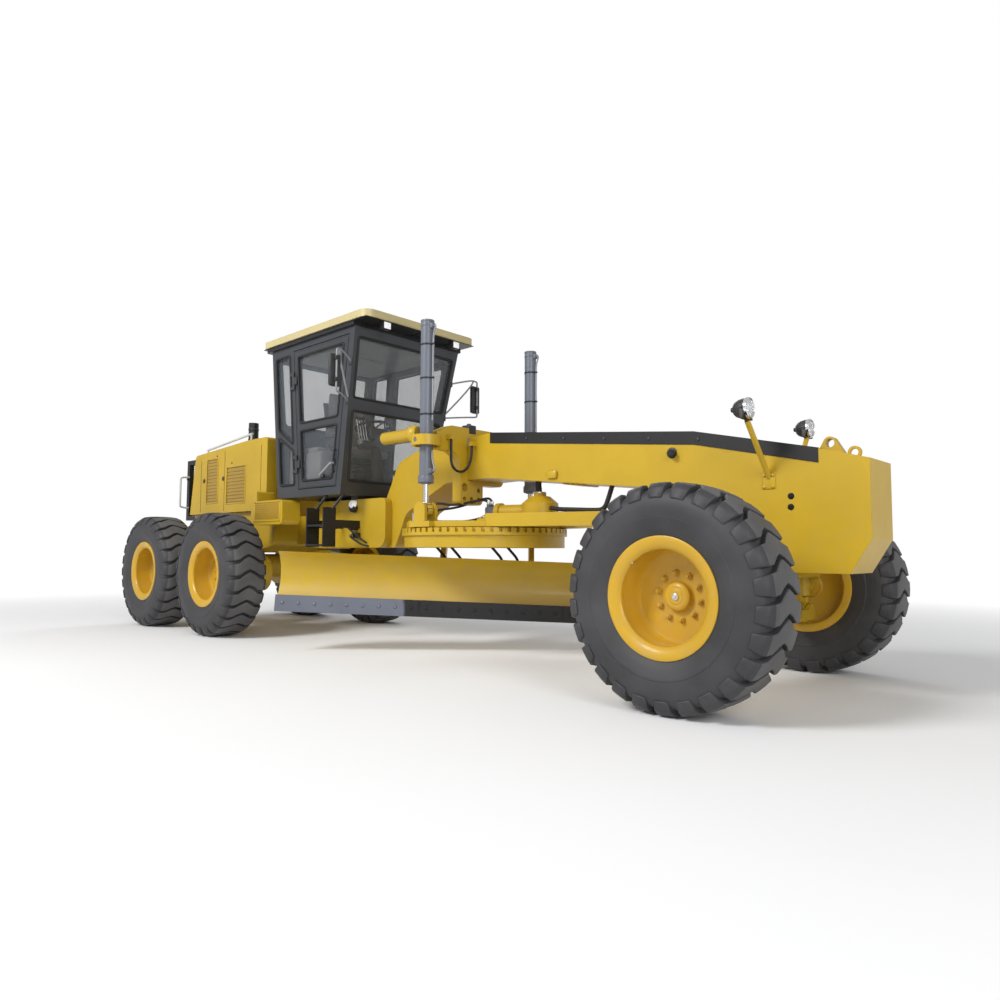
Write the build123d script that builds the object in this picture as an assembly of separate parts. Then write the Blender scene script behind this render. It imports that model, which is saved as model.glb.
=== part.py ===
"""Articulated motor grader, full size, in millimetres.

+X points forward, +Y to the machine's left and +Z up. While the pieces are made, x is measured from
the front axle; when a piece is written it moves forward, so that the origin lies on the ground under
the middle of the whole machine. The ground is z = 0.
"""
from build123d import *
import os
from math import cos, pi, radians, sin, sqrt, tan

# Whole machine
wheelbase = 6390.0  # front axle to the middle of the rear tandem
tandem_spacing = 1580.0
track = 2150.0
nose_reach = 826.0  # front face ahead of the front axle
tail_reach = 1510.0  # rear guard behind the middle of the tandem
running_gap = 6.0  # between pieces that move past each other
pin_play = 0.3  # radial play of a pin in its bore

# Tyres and rims
tyre_radius = 670.0
lugs = 26
lug_share = 0.4  # half a lug's width, as a share of the pitch
lug_lead = 0.46  # how far the middle of a lug runs ahead of its ends, as a share of the pitch
tyre_half_width = 222.0
bead_radius = 318.0
bead_half = 175.0
flange_radius = 355.0
flange_plane = 193.0  # from the wheel's middle plane
rim_opening_radius = 278.0
rim_barrel_radius = 290.0
disc_face = -35.0  # outboard is positive
disc_thickness = 25.0
hub_radius = 87.0
hub_face = 13.0
hub_inner_end = -115.0
spindle_radius = 42.0

# Front axle, wheel lean and steering
kingpin_y = 820.0
lean_pin_z = 480.0
lean_pin_radius = 30.0
axle_half_depth = 70.0
axle_pivot_z = 560.0
kingpin_radius = 25.0
knuckle_low, knuckle_high = 600.0, 740.0
knuckle_radius = 70.0
ear_radius = 60.0
lean_bar_x, lean_bar_z = 120.0, 765.0
lean_bar_radius = 25.0
steering_arm = 260.0
tie_rod_z = 575.0
ball_radius = 28.0

# Front frame
beam_half_width = 215.0
belly_half_width = 300.0
belly_z = 960.0
nose_bottom_z = 800.0
nose_top_z = 1505.0
nose_tunnel_z = 830.0  # underside over the axle
neck_joint_x = -2900.0  # weld between the beam and the gooseneck behind it
hitch_x = -5250.0  # articulation pin
hitch_pin_radius = 50.0
hitch_plate_radius = 110.0

# Drawbar, circle and blade
ball_x, ball_z = -480.0, 1035.0
ball_joint_radius = 70.0
circle_x = -2600.0
circle_radius = 765.0
circle_inner_radius = 620.0
circle_low, circle_high = 1065.0, 1130.0
circle_web_z = 960.0  # lower edge of the drum under the toothed ring
drawbar_plate = 50.0
lift_y = 700.0
lift_eye_z = 1285.0
lift_pin_radius = 29.0
eye_drift = 18.0  # room for the eye to wander round its pin as the drawbar swings
trunnion_x, trunnion_z = -2640.0, 1890.0
trunnion_radius = 20.0
barrel_radius = 59.0
barrel_top_z = 2950.0
barrel_bottom_z = 1525.0
rod_radius = 25.0
blade_length = 3965.0
blade_heading = 42.8  # of the blade's length from +X, in plan
blade_ahead = 70.0  # of the blade's face, ahead of the circle's axis
blade_shift = 60.0  # of the blade's middle to its left end's side
blade_top_z = 925.0
blade_bottom_z = 376.0
edge_height = 150.0
blade_thickness = 22.0
arm_y = 430.0  # of the circle's two arms, along the blade
pitch_z = 560.0
pitch_back = 240.0  # of the pitch pin behind the circle's axis
blade_roll = 2.1  # degrees that the blade's left end hangs down, about its right end

# Cab
cab_rear_x = -5250.0
cab_floor_z = 1500.0
cab_sill_z = 1560.0
cab_top_z = 3145.0
cab_front_bottom_x = -4047.0
cab_front_top_x = -3705.0
cab_half_bottom = 600.0
cab_half_top = 702.0
cab_wall = 50.0
pillar_x = -4850.0
roof_front_x, roof_rear_x = -3473.0, -5405.0
roof_half_width = 750.0
roof_edge, roof_thickness = 45.0, 117.0  # the roof's inset lower part, and all of it
roof_top_z = cab_top_z + roof_thickness
door_gap = 8.0

# Rear frame and hood
hood_front_x, hood_rear_x = -5665.0, -7560.0
hood_half_width = 500.0
hood_bottom_z = 1396.0
hood_top_z = 2260.0
hood_tail_z = 2180.0
hood_slope_x = -6110.0
hood_wall = 30.0
chassis_half_width = 430.0
chassis_low = 900.0
tandem_inner_y, tandem_outer_y = 560.0, 800.0

wheel_y = track / 2
tandem_x = -wheelbase
tail_x = tandem_x - tail_reach
length = nose_reach - tail_x
origin_shift = length / 2 - nose_reach
rear_wheels_x = (tandem_x + tandem_spacing / 2, tandem_x - tandem_spacing / 2)


def outline(plane, corners):
    """Flat face through corners (u, v, corner radius) on a plane."""
    face = make_face(Polyline(*[(u, v) for u, v, _ in corners], close=True))
    for u, v, radius in corners:
        if radius:
            corner = min(face.vertices(), key=lambda p: (p.X - u) ** 2 + (p.Y - v) ** 2)
            face = fillet(corner, radius)
    return plane * face


def across(corners, y_low, y_high):
    """Solid with a side outline of corners (x, z, radius), between two y."""
    plane = Plane(origin=(0, y_low, 0), x_dir=(1, 0, 0), z_dir=(0, -1, 0))
    return extrude(outline(plane, corners), y_high - y_low, dir=(0, 1, 0))


def along(corners, x_low, x_high):
    """Solid with a front outline of corners (y, z, radius), between two x."""
    plane = Plane(origin=(x_low, 0, 0), x_dir=(0, 1, 0), z_dir=(1, 0, 0))
    return extrude(outline(plane, corners), x_high - x_low, dir=(1, 0, 0))


def upright(corners, z_low, z_high):
    """Solid with a plan outline of corners (x, y, radius), between two z."""
    return extrude(outline(Plane.XY.offset(z_low), corners), z_high - z_low, dir=(0, 0, 1))


def block(x_low, x_high, y_low, y_high, z_low, z_high):
    """Box between two corners."""
    size = (x_high - x_low, y_high - y_low, z_high - z_low)
    return Pos((x_low + x_high) / 2, (y_low + y_high) / 2, (z_low + z_high) / 2) * Box(*size)


def bar(start, end, radius):
    """Round bar from start to end."""
    start, end = Vector(*start), Vector(*end)
    return Part() + Solid.make_cylinder(radius, (end - start).length, Plane(start, z_dir=end - start))


def disc_x(x_low, x_high, y, z, radius):
    return bar((x_low, y, z), (x_high, y, z), radius)


def disc_y(x, y_low, y_high, z, radius):
    return bar((x, y_low, z), (x, y_high, z), radius)


def disc_z(x, y, z_low, z_high, radius):
    return bar((x, y, z_low), (x, y, z_high), radius)


def turned(profile):
    """Ring turned about the Y axis from a profile of (y, radius)."""
    face = make_face(Polyline(*[(radius, y, 0) for y, radius in profile], close=True))
    return revolve(face, Axis.Y)


def on_side(solid, side):
    """A left piece, mirrored where side is -1."""
    return solid if side > 0 else mirror(solid, Plane.XZ)


written = []


def write(name, *solids):
    """Move a finished piece to the machine's own origin and write it."""
    whole = solids[0]
    for solid in solids[1:]:
        whole = whole + solid
    os.makedirs("parts", exist_ok=True)
    export_step(Pos(origin_shift, 0, 0) * whole, f"parts/{name}.step")
    written.append((name, len(whole.solids()), whole.volume))


# Wheels: (name, x, side)
wheels = (
    ("front_left", 0.0, 1),
    ("front_right", 0.0, -1),
    ("mid_left", rear_wheels_x[0], 1),
    ("mid_right", rear_wheels_x[0], -1),
    ("rear_left", rear_wheels_x[1], 1),
    ("rear_right", rear_wheels_x[1], -1),
)


def ring_of_points(y, steps):
    """Points round the Y axis; steps are (share of the pitch, radius) within each lug's pitch."""
    pitch = 2 * pi / lugs
    angles = [(pitch * (index + share), radius) for index in range(lugs) for share, radius in steps]
    return [(radius * sin(angle), y, -radius * cos(angle)) for angle, radius in angles]


def facets(*corners):
    """Flat faces between corners that needn't lie in one plane."""
    first = corners[0]
    pairs = zip(corners[1:], corners[2:])
    return [make_face(Polyline(first, two, three, close=True)) for two, three in pairs]


def tyre():
    """Flat-faced tyre about the Y axis, with chevron lugs from shoulder to shoulder."""
    tip = tyre_radius / cos(2 * pi / lugs * lug_share)
    rows = []
    for y, lead, high, low in (
        (-205, 0.0, tip - 14, 618),
        (0, lug_lead, tip, 632),
        (205, 0.0, tip - 14, 618),
    ):
        near, far = lead - lug_share - lug_lead, lead + lug_share - lug_lead
        rows.append(ring_of_points(y, ((near, high), (far, high), (far + 0.02, low), (near + 0.98, low))))
    whole = []
    for one, two in zip(rows, rows[1:]):
        for index in range(4 * lugs):
            after = (index + 1) % (4 * lugs)
            whole += facets(one[index], one[after], two[after], two[index])
    bulge = [ring_of_points(side * tyre_half_width, ((-lug_lead, 470),)) for side in (-1, 1)]
    for tread, plain in ((rows[0], bulge[0]), (rows[2], bulge[1])):
        for index in range(lugs):
            after = (index + 1) % lugs
            group = [tread[(4 * index + step) % (4 * lugs)] for step in range(5)]
            whole += facets(plain[index], *group)
            whole += facets(plain[index], group[-1], plain[after])
    grow = 1 / cos(pi / lugs)
    inner = [bulge[0]]
    for y, radius in ((-bead_half, flange_radius + 1), (-bead_half, bead_radius), (bead_half, bead_radius)):
        inner.append(ring_of_points(y, ((-lug_lead, radius * grow),)))
    inner.append(ring_of_points(bead_half, ((-lug_lead, (flange_radius + 1) * grow),)))
    inner.append(bulge[1])
    for one, two in zip(inner, inner[1:]):
        for index in range(lugs):
            after = (index + 1) % lugs
            whole.append(make_face(Polyline(one[index], one[after], two[after], two[index], close=True)))
    return Solid(Shell(whole))


def rim():
    """Deep-dished rim with its hub; outboard is +Y."""
    barrel = turned((
        (-flange_plane, rim_barrel_radius),
        (-flange_plane, flange_radius),
        (-bead_half, flange_radius),
        (-bead_half, bead_radius),
        (bead_half, bead_radius),
        (bead_half, flange_radius),
        (flange_plane, flange_radius),
        (flange_plane, rim_opening_radius + 14),
        (flange_plane - 20, rim_opening_radius),
        (flange_plane - 50, rim_opening_radius),
        (flange_plane - 70, rim_barrel_radius),
    ))
    disc = disc_y(0, disc_face - disc_thickness, disc_face, 0, rim_barrel_radius + 5)
    hub = disc_y(0, hub_inner_end, hub_face, 0, hub_radius)
    bore = disc_y(0, hub_inner_end - 1, hub_face - 33, 0, spindle_radius + pin_play)
    return barrel + disc + hub - bore


one_tyre = tyre()
one_rim = rim()
for place, x, side in wheels:
    spot = Pos(x, side * wheel_y, tyre_radius)
    write(f"tyre_{place}", spot * on_side(one_tyre, side))
    write(f"rim_{place}", spot * on_side(one_rim, side))

spindle_end = wheel_y + hub_face - 33 - 5
shoulder_y = wheel_y + hub_inner_end - running_gap

# Front axle beam with its pivot and the clevises for the lean pins
clevis_gap = 55.0
clevis_thickness = 30.0
beam_end_y = kingpin_y - 75
axle = along(
    (
        (-beam_end_y, 405, 0),
        (-350, 420, 200),
        (350, 420, 200),
        (beam_end_y, 405, 0),
        (beam_end_y, 500, 0),
        (beam_end_y - 150, 500, 60),
        (260, 640, 100),
        (-260, 640, 100),
        (150 - beam_end_y, 500, 60),
        (-beam_end_y, 500, 0),
    ),
    -axle_half_depth,
    axle_half_depth,
)
ears_x = ((175.0, 215.0), (-145.0, -105.0))  # pivot ears of the front frame, before and behind the beam
axle += disc_x(ears_x[1][1], ears_x[0][0], 0, axle_pivot_z, 90)
axle += disc_x(ears_x[1][0] - 15, ears_x[0][1] + 15, 0, axle_pivot_z, 40)
cheek_end = clevis_gap + clevis_thickness
for side in (1, -1):
    for low, high in ((clevis_gap, cheek_end), (-cheek_end, -clevis_gap)):
        cheek = along(
            (
                (side * (beam_end_y - 120), 420, 0),
                (side * kingpin_y, lean_pin_z - ear_radius, 0),
                (side * kingpin_y, lean_pin_z + 20, 0),
                (side * (beam_end_y - 120), 500, 0),
            ),
            low,
            high,
        )
        axle += cheek + disc_x(low, high, side * kingpin_y, lean_pin_z, ear_radius)
    axle += disc_x(-cheek_end, cheek_end, side * kingpin_y, lean_pin_z, lean_pin_radius)
write("front_axle", axle)


def lean_yoke():
    """Left yoke: lean lug below, kingpin between two ears, lug for the lean bar in front."""
    half = 50.0
    spine_y = kingpin_y - knuckle_radius - 15
    ear = 45.0
    low, high = knuckle_low - 10, knuckle_high + 10
    yoke = disc_x(-half, half, kingpin_y, lean_pin_z, ear_radius)
    yoke += block(-half, half, kingpin_y - 55, kingpin_y + 45, lean_pin_z, low)
    for z in (low - ear, high):
        yoke += disc_z(0, kingpin_y, z, z + ear, ear_radius)
        yoke += block(-half, half, spine_y, kingpin_y, z, z + ear)
    yoke += block(-half, half, spine_y - 45, spine_y, low - ear + 15, high + ear)
    yoke += disc_x(0, lean_bar_x - lean_bar_radius - running_gap, kingpin_y, lean_bar_z, 38)
    yoke += disc_x(0, lean_bar_x + 28, kingpin_y, lean_bar_z, 18)
    yoke -= disc_x(-half - 1, half + 1, kingpin_y, lean_pin_z, lean_pin_radius + pin_play)
    yoke -= disc_z(0, kingpin_y, low, high, knuckle_radius + 5)
    return yoke + disc_z(0, kingpin_y, low - ear, high + ear, kingpin_radius)


def knuckle():
    """Left knuckle: barrel on the kingpin, spindle and steering arm with its ball."""
    spindle_z = tyre_radius
    body = disc_z(0, kingpin_y, knuckle_low, knuckle_high, knuckle_radius)
    body += disc_y(0, kingpin_y, shoulder_y, spindle_z, 60)
    body += disc_y(0, kingpin_y, spindle_end, spindle_z, spindle_radius)
    arm_low, arm_high = tie_rod_z + 46, tie_rod_z + 82
    body += block(-steering_arm, 0, kingpin_y - 24, kingpin_y + 24, arm_low, arm_high)
    body += disc_z(-steering_arm, kingpin_y, arm_low, arm_high, 34)
    body += disc_z(-steering_arm, kingpin_y, tie_rod_z, arm_low, 15)
    body += Pos(-steering_arm, kingpin_y, tie_rod_z) * Sphere(ball_radius)
    return body - disc_z(0, kingpin_y, knuckle_low - 1, knuckle_high + 1, kingpin_radius + pin_play)


left_yoke = lean_yoke()
left_knuckle = knuckle()
for name, side in (("left", 1), ("right", -1)):
    write(f"lean_yoke_{name}", on_side(left_yoke, side))
    write(f"knuckle_{name}", on_side(left_knuckle, side))

lean_bar = disc_y(lean_bar_x, -kingpin_y, kingpin_y, lean_bar_z, lean_bar_radius)
for side in (1, -1):
    lean_bar += disc_x(lean_bar_x - 22, lean_bar_x + 22, side * kingpin_y, lean_bar_z, 36)
    lean_bar -= disc_x(lean_bar_x - 26, lean_bar_x + 26, side * kingpin_y, lean_bar_z, 18 + pin_play)
write("lean_bar", lean_bar)

tie_rod = disc_y(-steering_arm, -kingpin_y, kingpin_y, tie_rod_z, 22)
for side in (1, -1):
    socket = Pos(-steering_arm, side * kingpin_y, tie_rod_z)
    tie_rod += socket * Cylinder(42, 48)
for side in (1, -1):
    socket = Pos(-steering_arm, side * kingpin_y, tie_rod_z)
    tie_rod -= socket * Sphere(ball_radius + pin_play)
    tie_rod -= socket * Pos(0, 0, 24) * Cylinder(26, 48)
write("tie_rod", tie_rod)
boot = disc_z(-steering_arm, kingpin_y, tie_rod_z + 38, tie_rod_z + 45.8, 24)
write("tie_rod_boot", boot - disc_z(-steering_arm, kingpin_y, tie_rod_z, tie_rod_z + 60, 15 + pin_play))

# Front frame: side outline of (x, z, corner radius)
nose_and_beam = (
    (nose_reach, nose_top_z, 0),
    (524, 1589, 0),
    (-333, 1783, 0),
    (-2335, 1986, 0),
    (-3257, 1927, 400),
    (-3600, 1820, 200),
    (-3790, 1465, 0),
    (-4200, 1465, 0),
    (-4200, belly_z, 0),
    (-3640, belly_z, 80),
    (-3480, 1300, 150),
    (-2900, 1570, 200),
    (-2370, 1583, 0),
    (-786, 1415, 0),
    (-420, 1375, 150),
    (-260, nose_tunnel_z, 80),
    (250, nose_tunnel_z, 0),
    (300, nose_bottom_z, 0),
    (696, nose_bottom_z, 0),
    (nose_reach, 1015, 0),
)
belly = (
    (-3700, 1465, 60),
    (-4950, 1465, 0),
    (-4950, belly_z, 0),
    (-3700, belly_z, 120),
)
whole_beam = across(nose_and_beam, -beam_half_width, beam_half_width)
front_part = block(neck_joint_x, nose_reach, -beam_half_width, beam_half_width, 0, roof_top_z)
gooseneck = whole_beam - front_part + across(belly, -belly_half_width, belly_half_width)
hitch_low, hitch_high = 1000.0, 1340.0
hitch_plate = 50.0
for z in (hitch_low - hitch_plate, hitch_high):
    gooseneck += block(hitch_x, -4900, -150, 150, z, z + hitch_plate)
    gooseneck += disc_z(hitch_x, 0, z, z + hitch_plate, 150)
gooseneck += disc_z(hitch_x, 0, hitch_low - hitch_plate - 20, hitch_high + hitch_plate + 20, hitch_pin_radius)
write("gooseneck", gooseneck)
frame = whole_beam & front_part
for low, high in ears_x:
    ear = along(
        (
            (-170, nose_tunnel_z + 20, 0),
            (-85, axle_pivot_z - 90, 80),
            (85, axle_pivot_z - 90, 80),
            (170, nose_tunnel_z + 20, 0),
        ),
        low,
        high,
    )
    frame += ear - disc_x(low - 1, high + 1, 0, axle_pivot_z, 40)
frame += across(((-140, 1560, 0), (655, 1560, 0), (655, 1500, 0), (-140, 1500, 0)), -8, 8)
hose_radius = 12.0
hose_x, hose_high_z = -2568.0, 1925.0  # upper end, on the saddle
hose_end_x, hose_low_z = -2515.0, 1880.0  # lower end, on the beam's side
frame += block(hose_end_x - 20, hose_end_x + 20, -284, -beam_half_width + 20, hose_low_z, hose_low_z + 40)
ring_eye = disc_y(677, -10, 10, 1569, 42) - disc_y(677, -11, 11, 1569, 24)
frame += ring_eye
lug = across(((430, 1540, 0), (530, 1725, 40), (650, 1520, 0)), -30, 30)
lug -= disc_y(534, -31, 31, 1640, 28)
frame += lug
boss_half = ball_joint_radius + 25
cup_x = ball_x + 30
frame += block(cup_x, ball_x + 180, -boss_half, boss_half, ball_z - boss_half, ball_z + boss_half)
frame -= Pos(ball_x, 0, ball_z) * Rot(0, 90, 0) * Sphere(ball_joint_radius + pin_play)
write("front_frame", frame)

# Black cover along the beam's top edges
cover_low = 92.0
cover_line = ((524, 1589), (-333, 1783), (-2330, 1985))
cover = across(
    tuple((x, z + 4, 0) for x, z in cover_line)
    + tuple((x, z - cover_low, 0) for x, z in reversed(cover_line)),
    -beam_half_width - 5,
    beam_half_width + 5,
)
write("beam_cover", cover - frame)

# Saddle that carries the lift cylinders
saddle_x = trunnion_x - 30
saddle_half = 55.0
ring_radius = barrel_radius + 42
arms = along(
    (
        (-lift_y, trunnion_z + 50, 0),
        (-430, 2060, 120),
        (430, 2060, 120),
        (lift_y, trunnion_z + 50, 0),
        (lift_y, trunnion_z - 50, 0),
        (330, 1830, 120),
        (255, 1540, 60),
        (-15, 1540, 0),
        (-15, 1352, 50),
        (-300, 1352, 40),
        (-300, 1560, 0),
        (-330, 1830, 120),
        (-lift_y, trunnion_z - 50, 0),
    ),
    saddle_x - saddle_half,
    saddle_x + saddle_half,
)
arms -= frame
for y, z, radius in ((-249, 1511, 38), (-252, 1405, 20), (-160, 1405, 20), (-70, 1405, 20), (-70, 1490, 20)):
    arms -= disc_x(-2800, -2500, y, z, radius)
for side in (1, -1):
    arms += disc_z(trunnion_x, side * lift_y, trunnion_z - 45, trunnion_z + 45, ring_radius + 30)
    arms -= disc_z(trunnion_x, side * lift_y, trunnion_z - 130, trunnion_z + 130, ring_radius)
    low, high = side * (lift_y - 140), side * (lift_y + 140)
    arms -= disc_y(trunnion_x, low, high, trunnion_z, trunnion_radius + pin_play)
arms += block(saddle_x + saddle_half - 5, hose_x + 20, -490, -450, hose_high_z + 0.2, hose_high_z + 40)
write("saddle", arms)

# Fat tube with an elbow behind the right lift cylinder's ring
elbow_x, elbow_z = trunnion_x - 160, 1965.0
elbow = bar((elbow_x - 420, -lift_y, elbow_z), (elbow_x, -lift_y, elbow_z), 57)
elbow += Pos(elbow_x, -lift_y, elbow_z) * Sphere(80)
elbow += bar((elbow_x, -lift_y, elbow_z), (trunnion_x - 90, -lift_y, elbow_z - 60), 66)
keep_out = disc_z(trunnion_x, -lift_y, 1500, 2300, ring_radius + 12)
write("elbow_tube", elbow - arms - keep_out)


def lift_barrel():
    """Left lift cylinder's barrel with its trunnions."""
    body = disc_z(trunnion_x, lift_y, barrel_bottom_z, barrel_top_z, barrel_radius)
    body += disc_z(trunnion_x, lift_y, trunnion_z - 35, trunnion_z + 35, barrel_radius + 18)
    reach = ring_radius + 25
    body += disc_y(trunnion_x, lift_y - reach, lift_y + reach, trunnion_z, trunnion_radius)
    body += disc_z(trunnion_x, lift_y, barrel_bottom_z, barrel_bottom_z + 60, barrel_radius + 8)
    bore = disc_z(trunnion_x, lift_y, barrel_bottom_z - 1, barrel_top_z - 60, rod_radius + pin_play)
    return body - bore


def lift_rod():
    """Left lift cylinder's rod with the eye on the drawbar's pin."""
    body = disc_z(trunnion_x, lift_y, lift_eye_z + 45, barrel_top_z - 260, rod_radius)
    body += disc_y(trunnion_x, lift_y - 30, lift_y + 30, lift_eye_z, 66)
    return body - disc_y(trunnion_x, lift_y - 31, lift_y + 31, lift_eye_z, lift_pin_radius + eye_drift)


left_barrel = lift_barrel()
left_rod = lift_rod()
write("lift_barrels", left_barrel, on_side(left_barrel, -1))
for name, side in (("left", 1), ("right", -1)):
    write(f"lift_rod_{name}", on_side(left_rod, side))

# Plate over the circle with the lift pins, and the drawbar: an A-frame from the ball to the plate
plate_low = circle_high + running_gap
plate_high = plate_low + drawbar_plate
plate = disc_z(circle_x, 0, plate_low, plate_high, circle_radius - 40)
plate -= disc_z(circle_x, 0, plate_low - 1, plate_high + 1, 330)
spigot = disc_z(circle_x, 0, circle_low + 5, plate_low, circle_inner_radius - pin_play)
plate += spigot - disc_z(circle_x, 0, circle_low, plate_low + 1, circle_inner_radius - 40)
for side in (1, -1):
    for inner, outer in ((lift_y - 75, lift_y - 45), (lift_y + 45, lift_y + 75)):
        low, high = sorted((side * inner, side * outer))
        plate += disc_y(trunnion_x, low, high, lift_eye_z, 72)
        plate += block(trunnion_x - 72, trunnion_x + 72, low, high, plate_low, lift_eye_z)
    low, high = sorted((side * (lift_y - 200), side * (lift_y + 75)))
    plate += block(trunnion_x - 130, trunnion_x + 130, low, high, plate_low, plate_high)
    low, high = sorted((side * (lift_y - 75), side * (lift_y + 75)))
    plate += disc_y(trunnion_x, low, high, lift_eye_z, lift_pin_radius)
write("circle_plate", plate)
drawbar = Pos(ball_x, 0, ball_z) * Rot(0, 90, 0) * Sphere(ball_joint_radius)
for side in (1, -1):
    drawbar += upright(
        (
            (ball_x - 220, side * 70, 0),
            (ball_x - 220, side * -5, 0),
            (ball_x - 420, side * -5, 0),
            (circle_x + 640, side * 300, 0),
            (circle_x + 500, side * 520, 0),
        ),
        plate_low,
        plate_high + 60,
    )
neck = loft(
    [
        Plane(origin=(ball_x - 45, 0, ball_z), z_dir=(-1, 0, 0)) * Circle(42),
        Plane(origin=(ball_x - 260, 0, plate_high), z_dir=(-1, 0, 0)) * Circle(50),
    ]
)
drawbar += neck
write("drawbar", drawbar - plate)

# Circle drive: gearbox with a dome and its motor lying beside it
drive_x = circle_x + 670
motor_z = plate_high + 95
drive = disc_z(drive_x, 0, plate_high, plate_high + 40, 190)
drive += disc_z(drive_x, 0, plate_high + 40, plate_high + 160, 160)
drive += Pos(drive_x, 0, plate_high + 190) * Cone(160, 90, 60)
drive += disc_z(drive_x, 0, plate_high + 220, plate_high + 255, 55)
drive += bar((drive_x, 0, motor_z), (drive_x - 400, -60, motor_z), 66)
drive += bar((drive_x - 395, -60, motor_z), (drive_x - 440, -66, motor_z), 82)
write("circle_drive", drive)

# Everything under the circle is drawn with the blade across, then turned to its heading.
# Here x points the way the blade faces and y runs along the blade to its left end.
turn = Pos(circle_x, 0, 0) * Rot(0, 0, blade_heading - 90)
low_end = blade_shift - blade_length / 2
roll = Pos(0, low_end, blade_bottom_z) * Rot(-blade_roll, 0, 0) * Pos(0, -low_end, -blade_bottom_z)
hung = turn * roll  # place of the blade and of all that carries it
web_radius, web_thickness = circle_radius - 22, 30.0
ring = disc_z(0, 0, circle_low, circle_high, circle_radius)
ring += disc_z(0, 0, circle_web_z, circle_low, web_radius)
ring -= disc_z(0, 0, circle_web_z - 1, circle_low, web_radius - web_thickness)
ring -= disc_z(0, 0, circle_low - 1, circle_high + 1, circle_inner_radius)
teeth = 64
tooth_gap, tooth_depth, tooth_height = 26.0, 24.0, 38.0
for index in range(teeth):
    gap = block(
        circle_radius - tooth_depth,
        circle_radius + 5,
        -tooth_gap / 2,
        tooth_gap / 2,
        circle_high - tooth_height,
        circle_high + 1,
    )
    ring -= Rot(0, 0, 360 / teeth * index) * gap
arm_half = 25.0
arm_top = circle_low + 90  # before the roll, which lowers it into the ring
for side in (1, -1):
    arm = across(
        (
            (-430, arm_top, 0),
            (-635, arm_top, 0),
            (-pitch_back - 90, pitch_z + 60, 150),
            (-pitch_back - 40, pitch_z - 20, 0),
            (-pitch_back + 40, pitch_z - 20, 0),
            (-pitch_back + 25, pitch_z + 300, 200),
        ),
        side * arm_y - arm_half,
        side * arm_y + arm_half,
    )
    arm += disc_y(-pitch_back, side * arm_y - arm_half, side * arm_y + arm_half, pitch_z, 62)
    arm -= disc_y(-pitch_back, side * arm_y - 30, side * arm_y + 30, pitch_z, 32 + pin_play)
    ring += roll * arm - disc_z(0, 0, circle_low, circle_high + 1, circle_inner_radius)
write("circle", turn * ring)

# Blade: curved moldboard, front face concave; (x, z) sections
blade_half = blade_length / 2
face_x = blade_ahead
blade_right, blade_left = blade_shift - blade_half, blade_shift + blade_half
bow = 130.0  # depth of the curve


def blade_curve(offset, z_low, z_high):
    """Concave line of the moldboard's face, offset backwards."""
    middle = (face_x - bow - offset, (z_low + z_high) / 2)
    return ThreePointArc((face_x - offset * 0.9, z_low), middle, (face_x - offset * 0.9, z_high))


def moldboard():
    edge_top = blade_bottom_z + edge_height * 0.6
    front = blade_curve(0, edge_top, blade_top_z)
    back = blade_curve(blade_thickness, edge_top, blade_top_z)
    caps = [Line(front @ 0, back @ 0), Line(front @ 1, back @ 1)]
    face = make_face([front, back] + caps)
    plane = Plane(origin=(0, blade_right, 0), x_dir=(1, 0, 0), z_dir=(0, -1, 0))
    return extrude(plane * face, blade_length, dir=(0, 1, 0))


board = moldboard()
rail_back = face_x - bow - blade_thickness
rail_half = blade_half - 250
rail_half_height = 22.0
rail_spread = 110.0  # of the two rails from the middle of the moldboard
cylinder_z = (blade_bottom_z + edge_height * 0.6 + blade_top_z) / 2
chord_half = blade_top_z - cylinder_z
curve_radius = (chord_half**2 + bow**2) / (2 * bow)
rail_rise = rail_spread + rail_half_height
rail_seat = rail_back + curve_radius - sqrt(curve_radius**2 - rail_rise**2) + 1
lower_rail_z, upper_rail_z = cylinder_z - rail_spread, cylinder_z + rail_spread
for z in (lower_rail_z, upper_rail_z):
    low, high = z - rail_half_height, z + rail_half_height
    board += block(rail_back - 60, rail_seat, blade_shift - rail_half, blade_shift + rail_half, low, high)
eye_y = blade_shift + 1350.0
board += block(rail_back - 110, rail_back + 15, eye_y - 20, eye_y + 20, cylinder_z - 60, cylinder_z + 60)
write("moldboard", hung * board)
edge = across(
    (
        (face_x + 4, blade_bottom_z, 0),
        (face_x + 22, blade_bottom_z, 0),
        (face_x + 4, blade_bottom_z + edge_height, 0),
        (face_x - 16, blade_bottom_z + edge_height, 0),
    ),
    blade_right,
    blade_left,
)
write("cutting_edge", hung * (edge - board))

# Tilt frame that holds the blade's rails and turns on the circle's arms
tilt = disc_y(-pitch_back, -arm_y - 29, arm_y + 29, pitch_z, 32)
slide_gap = 0.4
rail_rear = rail_back - 60
for side in (1, -1):
    y = side * (arm_y - 110)
    for z in (lower_rail_z, upper_rail_z):
        shoe = block(rail_rear - 40, rail_rear + 35, y - 60, y + 60, z - 50, z + 50)
        groove_half = rail_half_height + slide_gap
        shoe -= block(rail_rear - slide_gap, 0, y - 61, y + 61, z - groove_half, z + groove_half)
        tilt += shoe
    tilt += block(rail_rear - 40, rail_rear - 5, y - 50, y + 50, lower_rail_z, upper_rail_z)
    tilt += across(
        (
            (rail_rear - 20, lower_rail_z + 60, 0),
            (rail_rear - 20, lower_rail_z - 50, 0),
            (-pitch_back, pitch_z - 50, 0),
            (-pitch_back, pitch_z + 50, 0),
        ),
        y - 25,
        y + 25,
    )
barrel_x = rail_rear + 8
tilt += disc_y(barrel_x, -700, 650, cylinder_z, 45)
tilt -= disc_y(barrel_x, -701, 651, cylinder_z, 22 + pin_play)
write("tilt_frame", hung * tilt)
write("side_shift_rod", hung * disc_y(barrel_x, blade_shift - 100, eye_y - 20, cylinder_z, 22))

# Cab: walls lean, so its outside and inside are lofts between the floor and the roof


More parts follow.
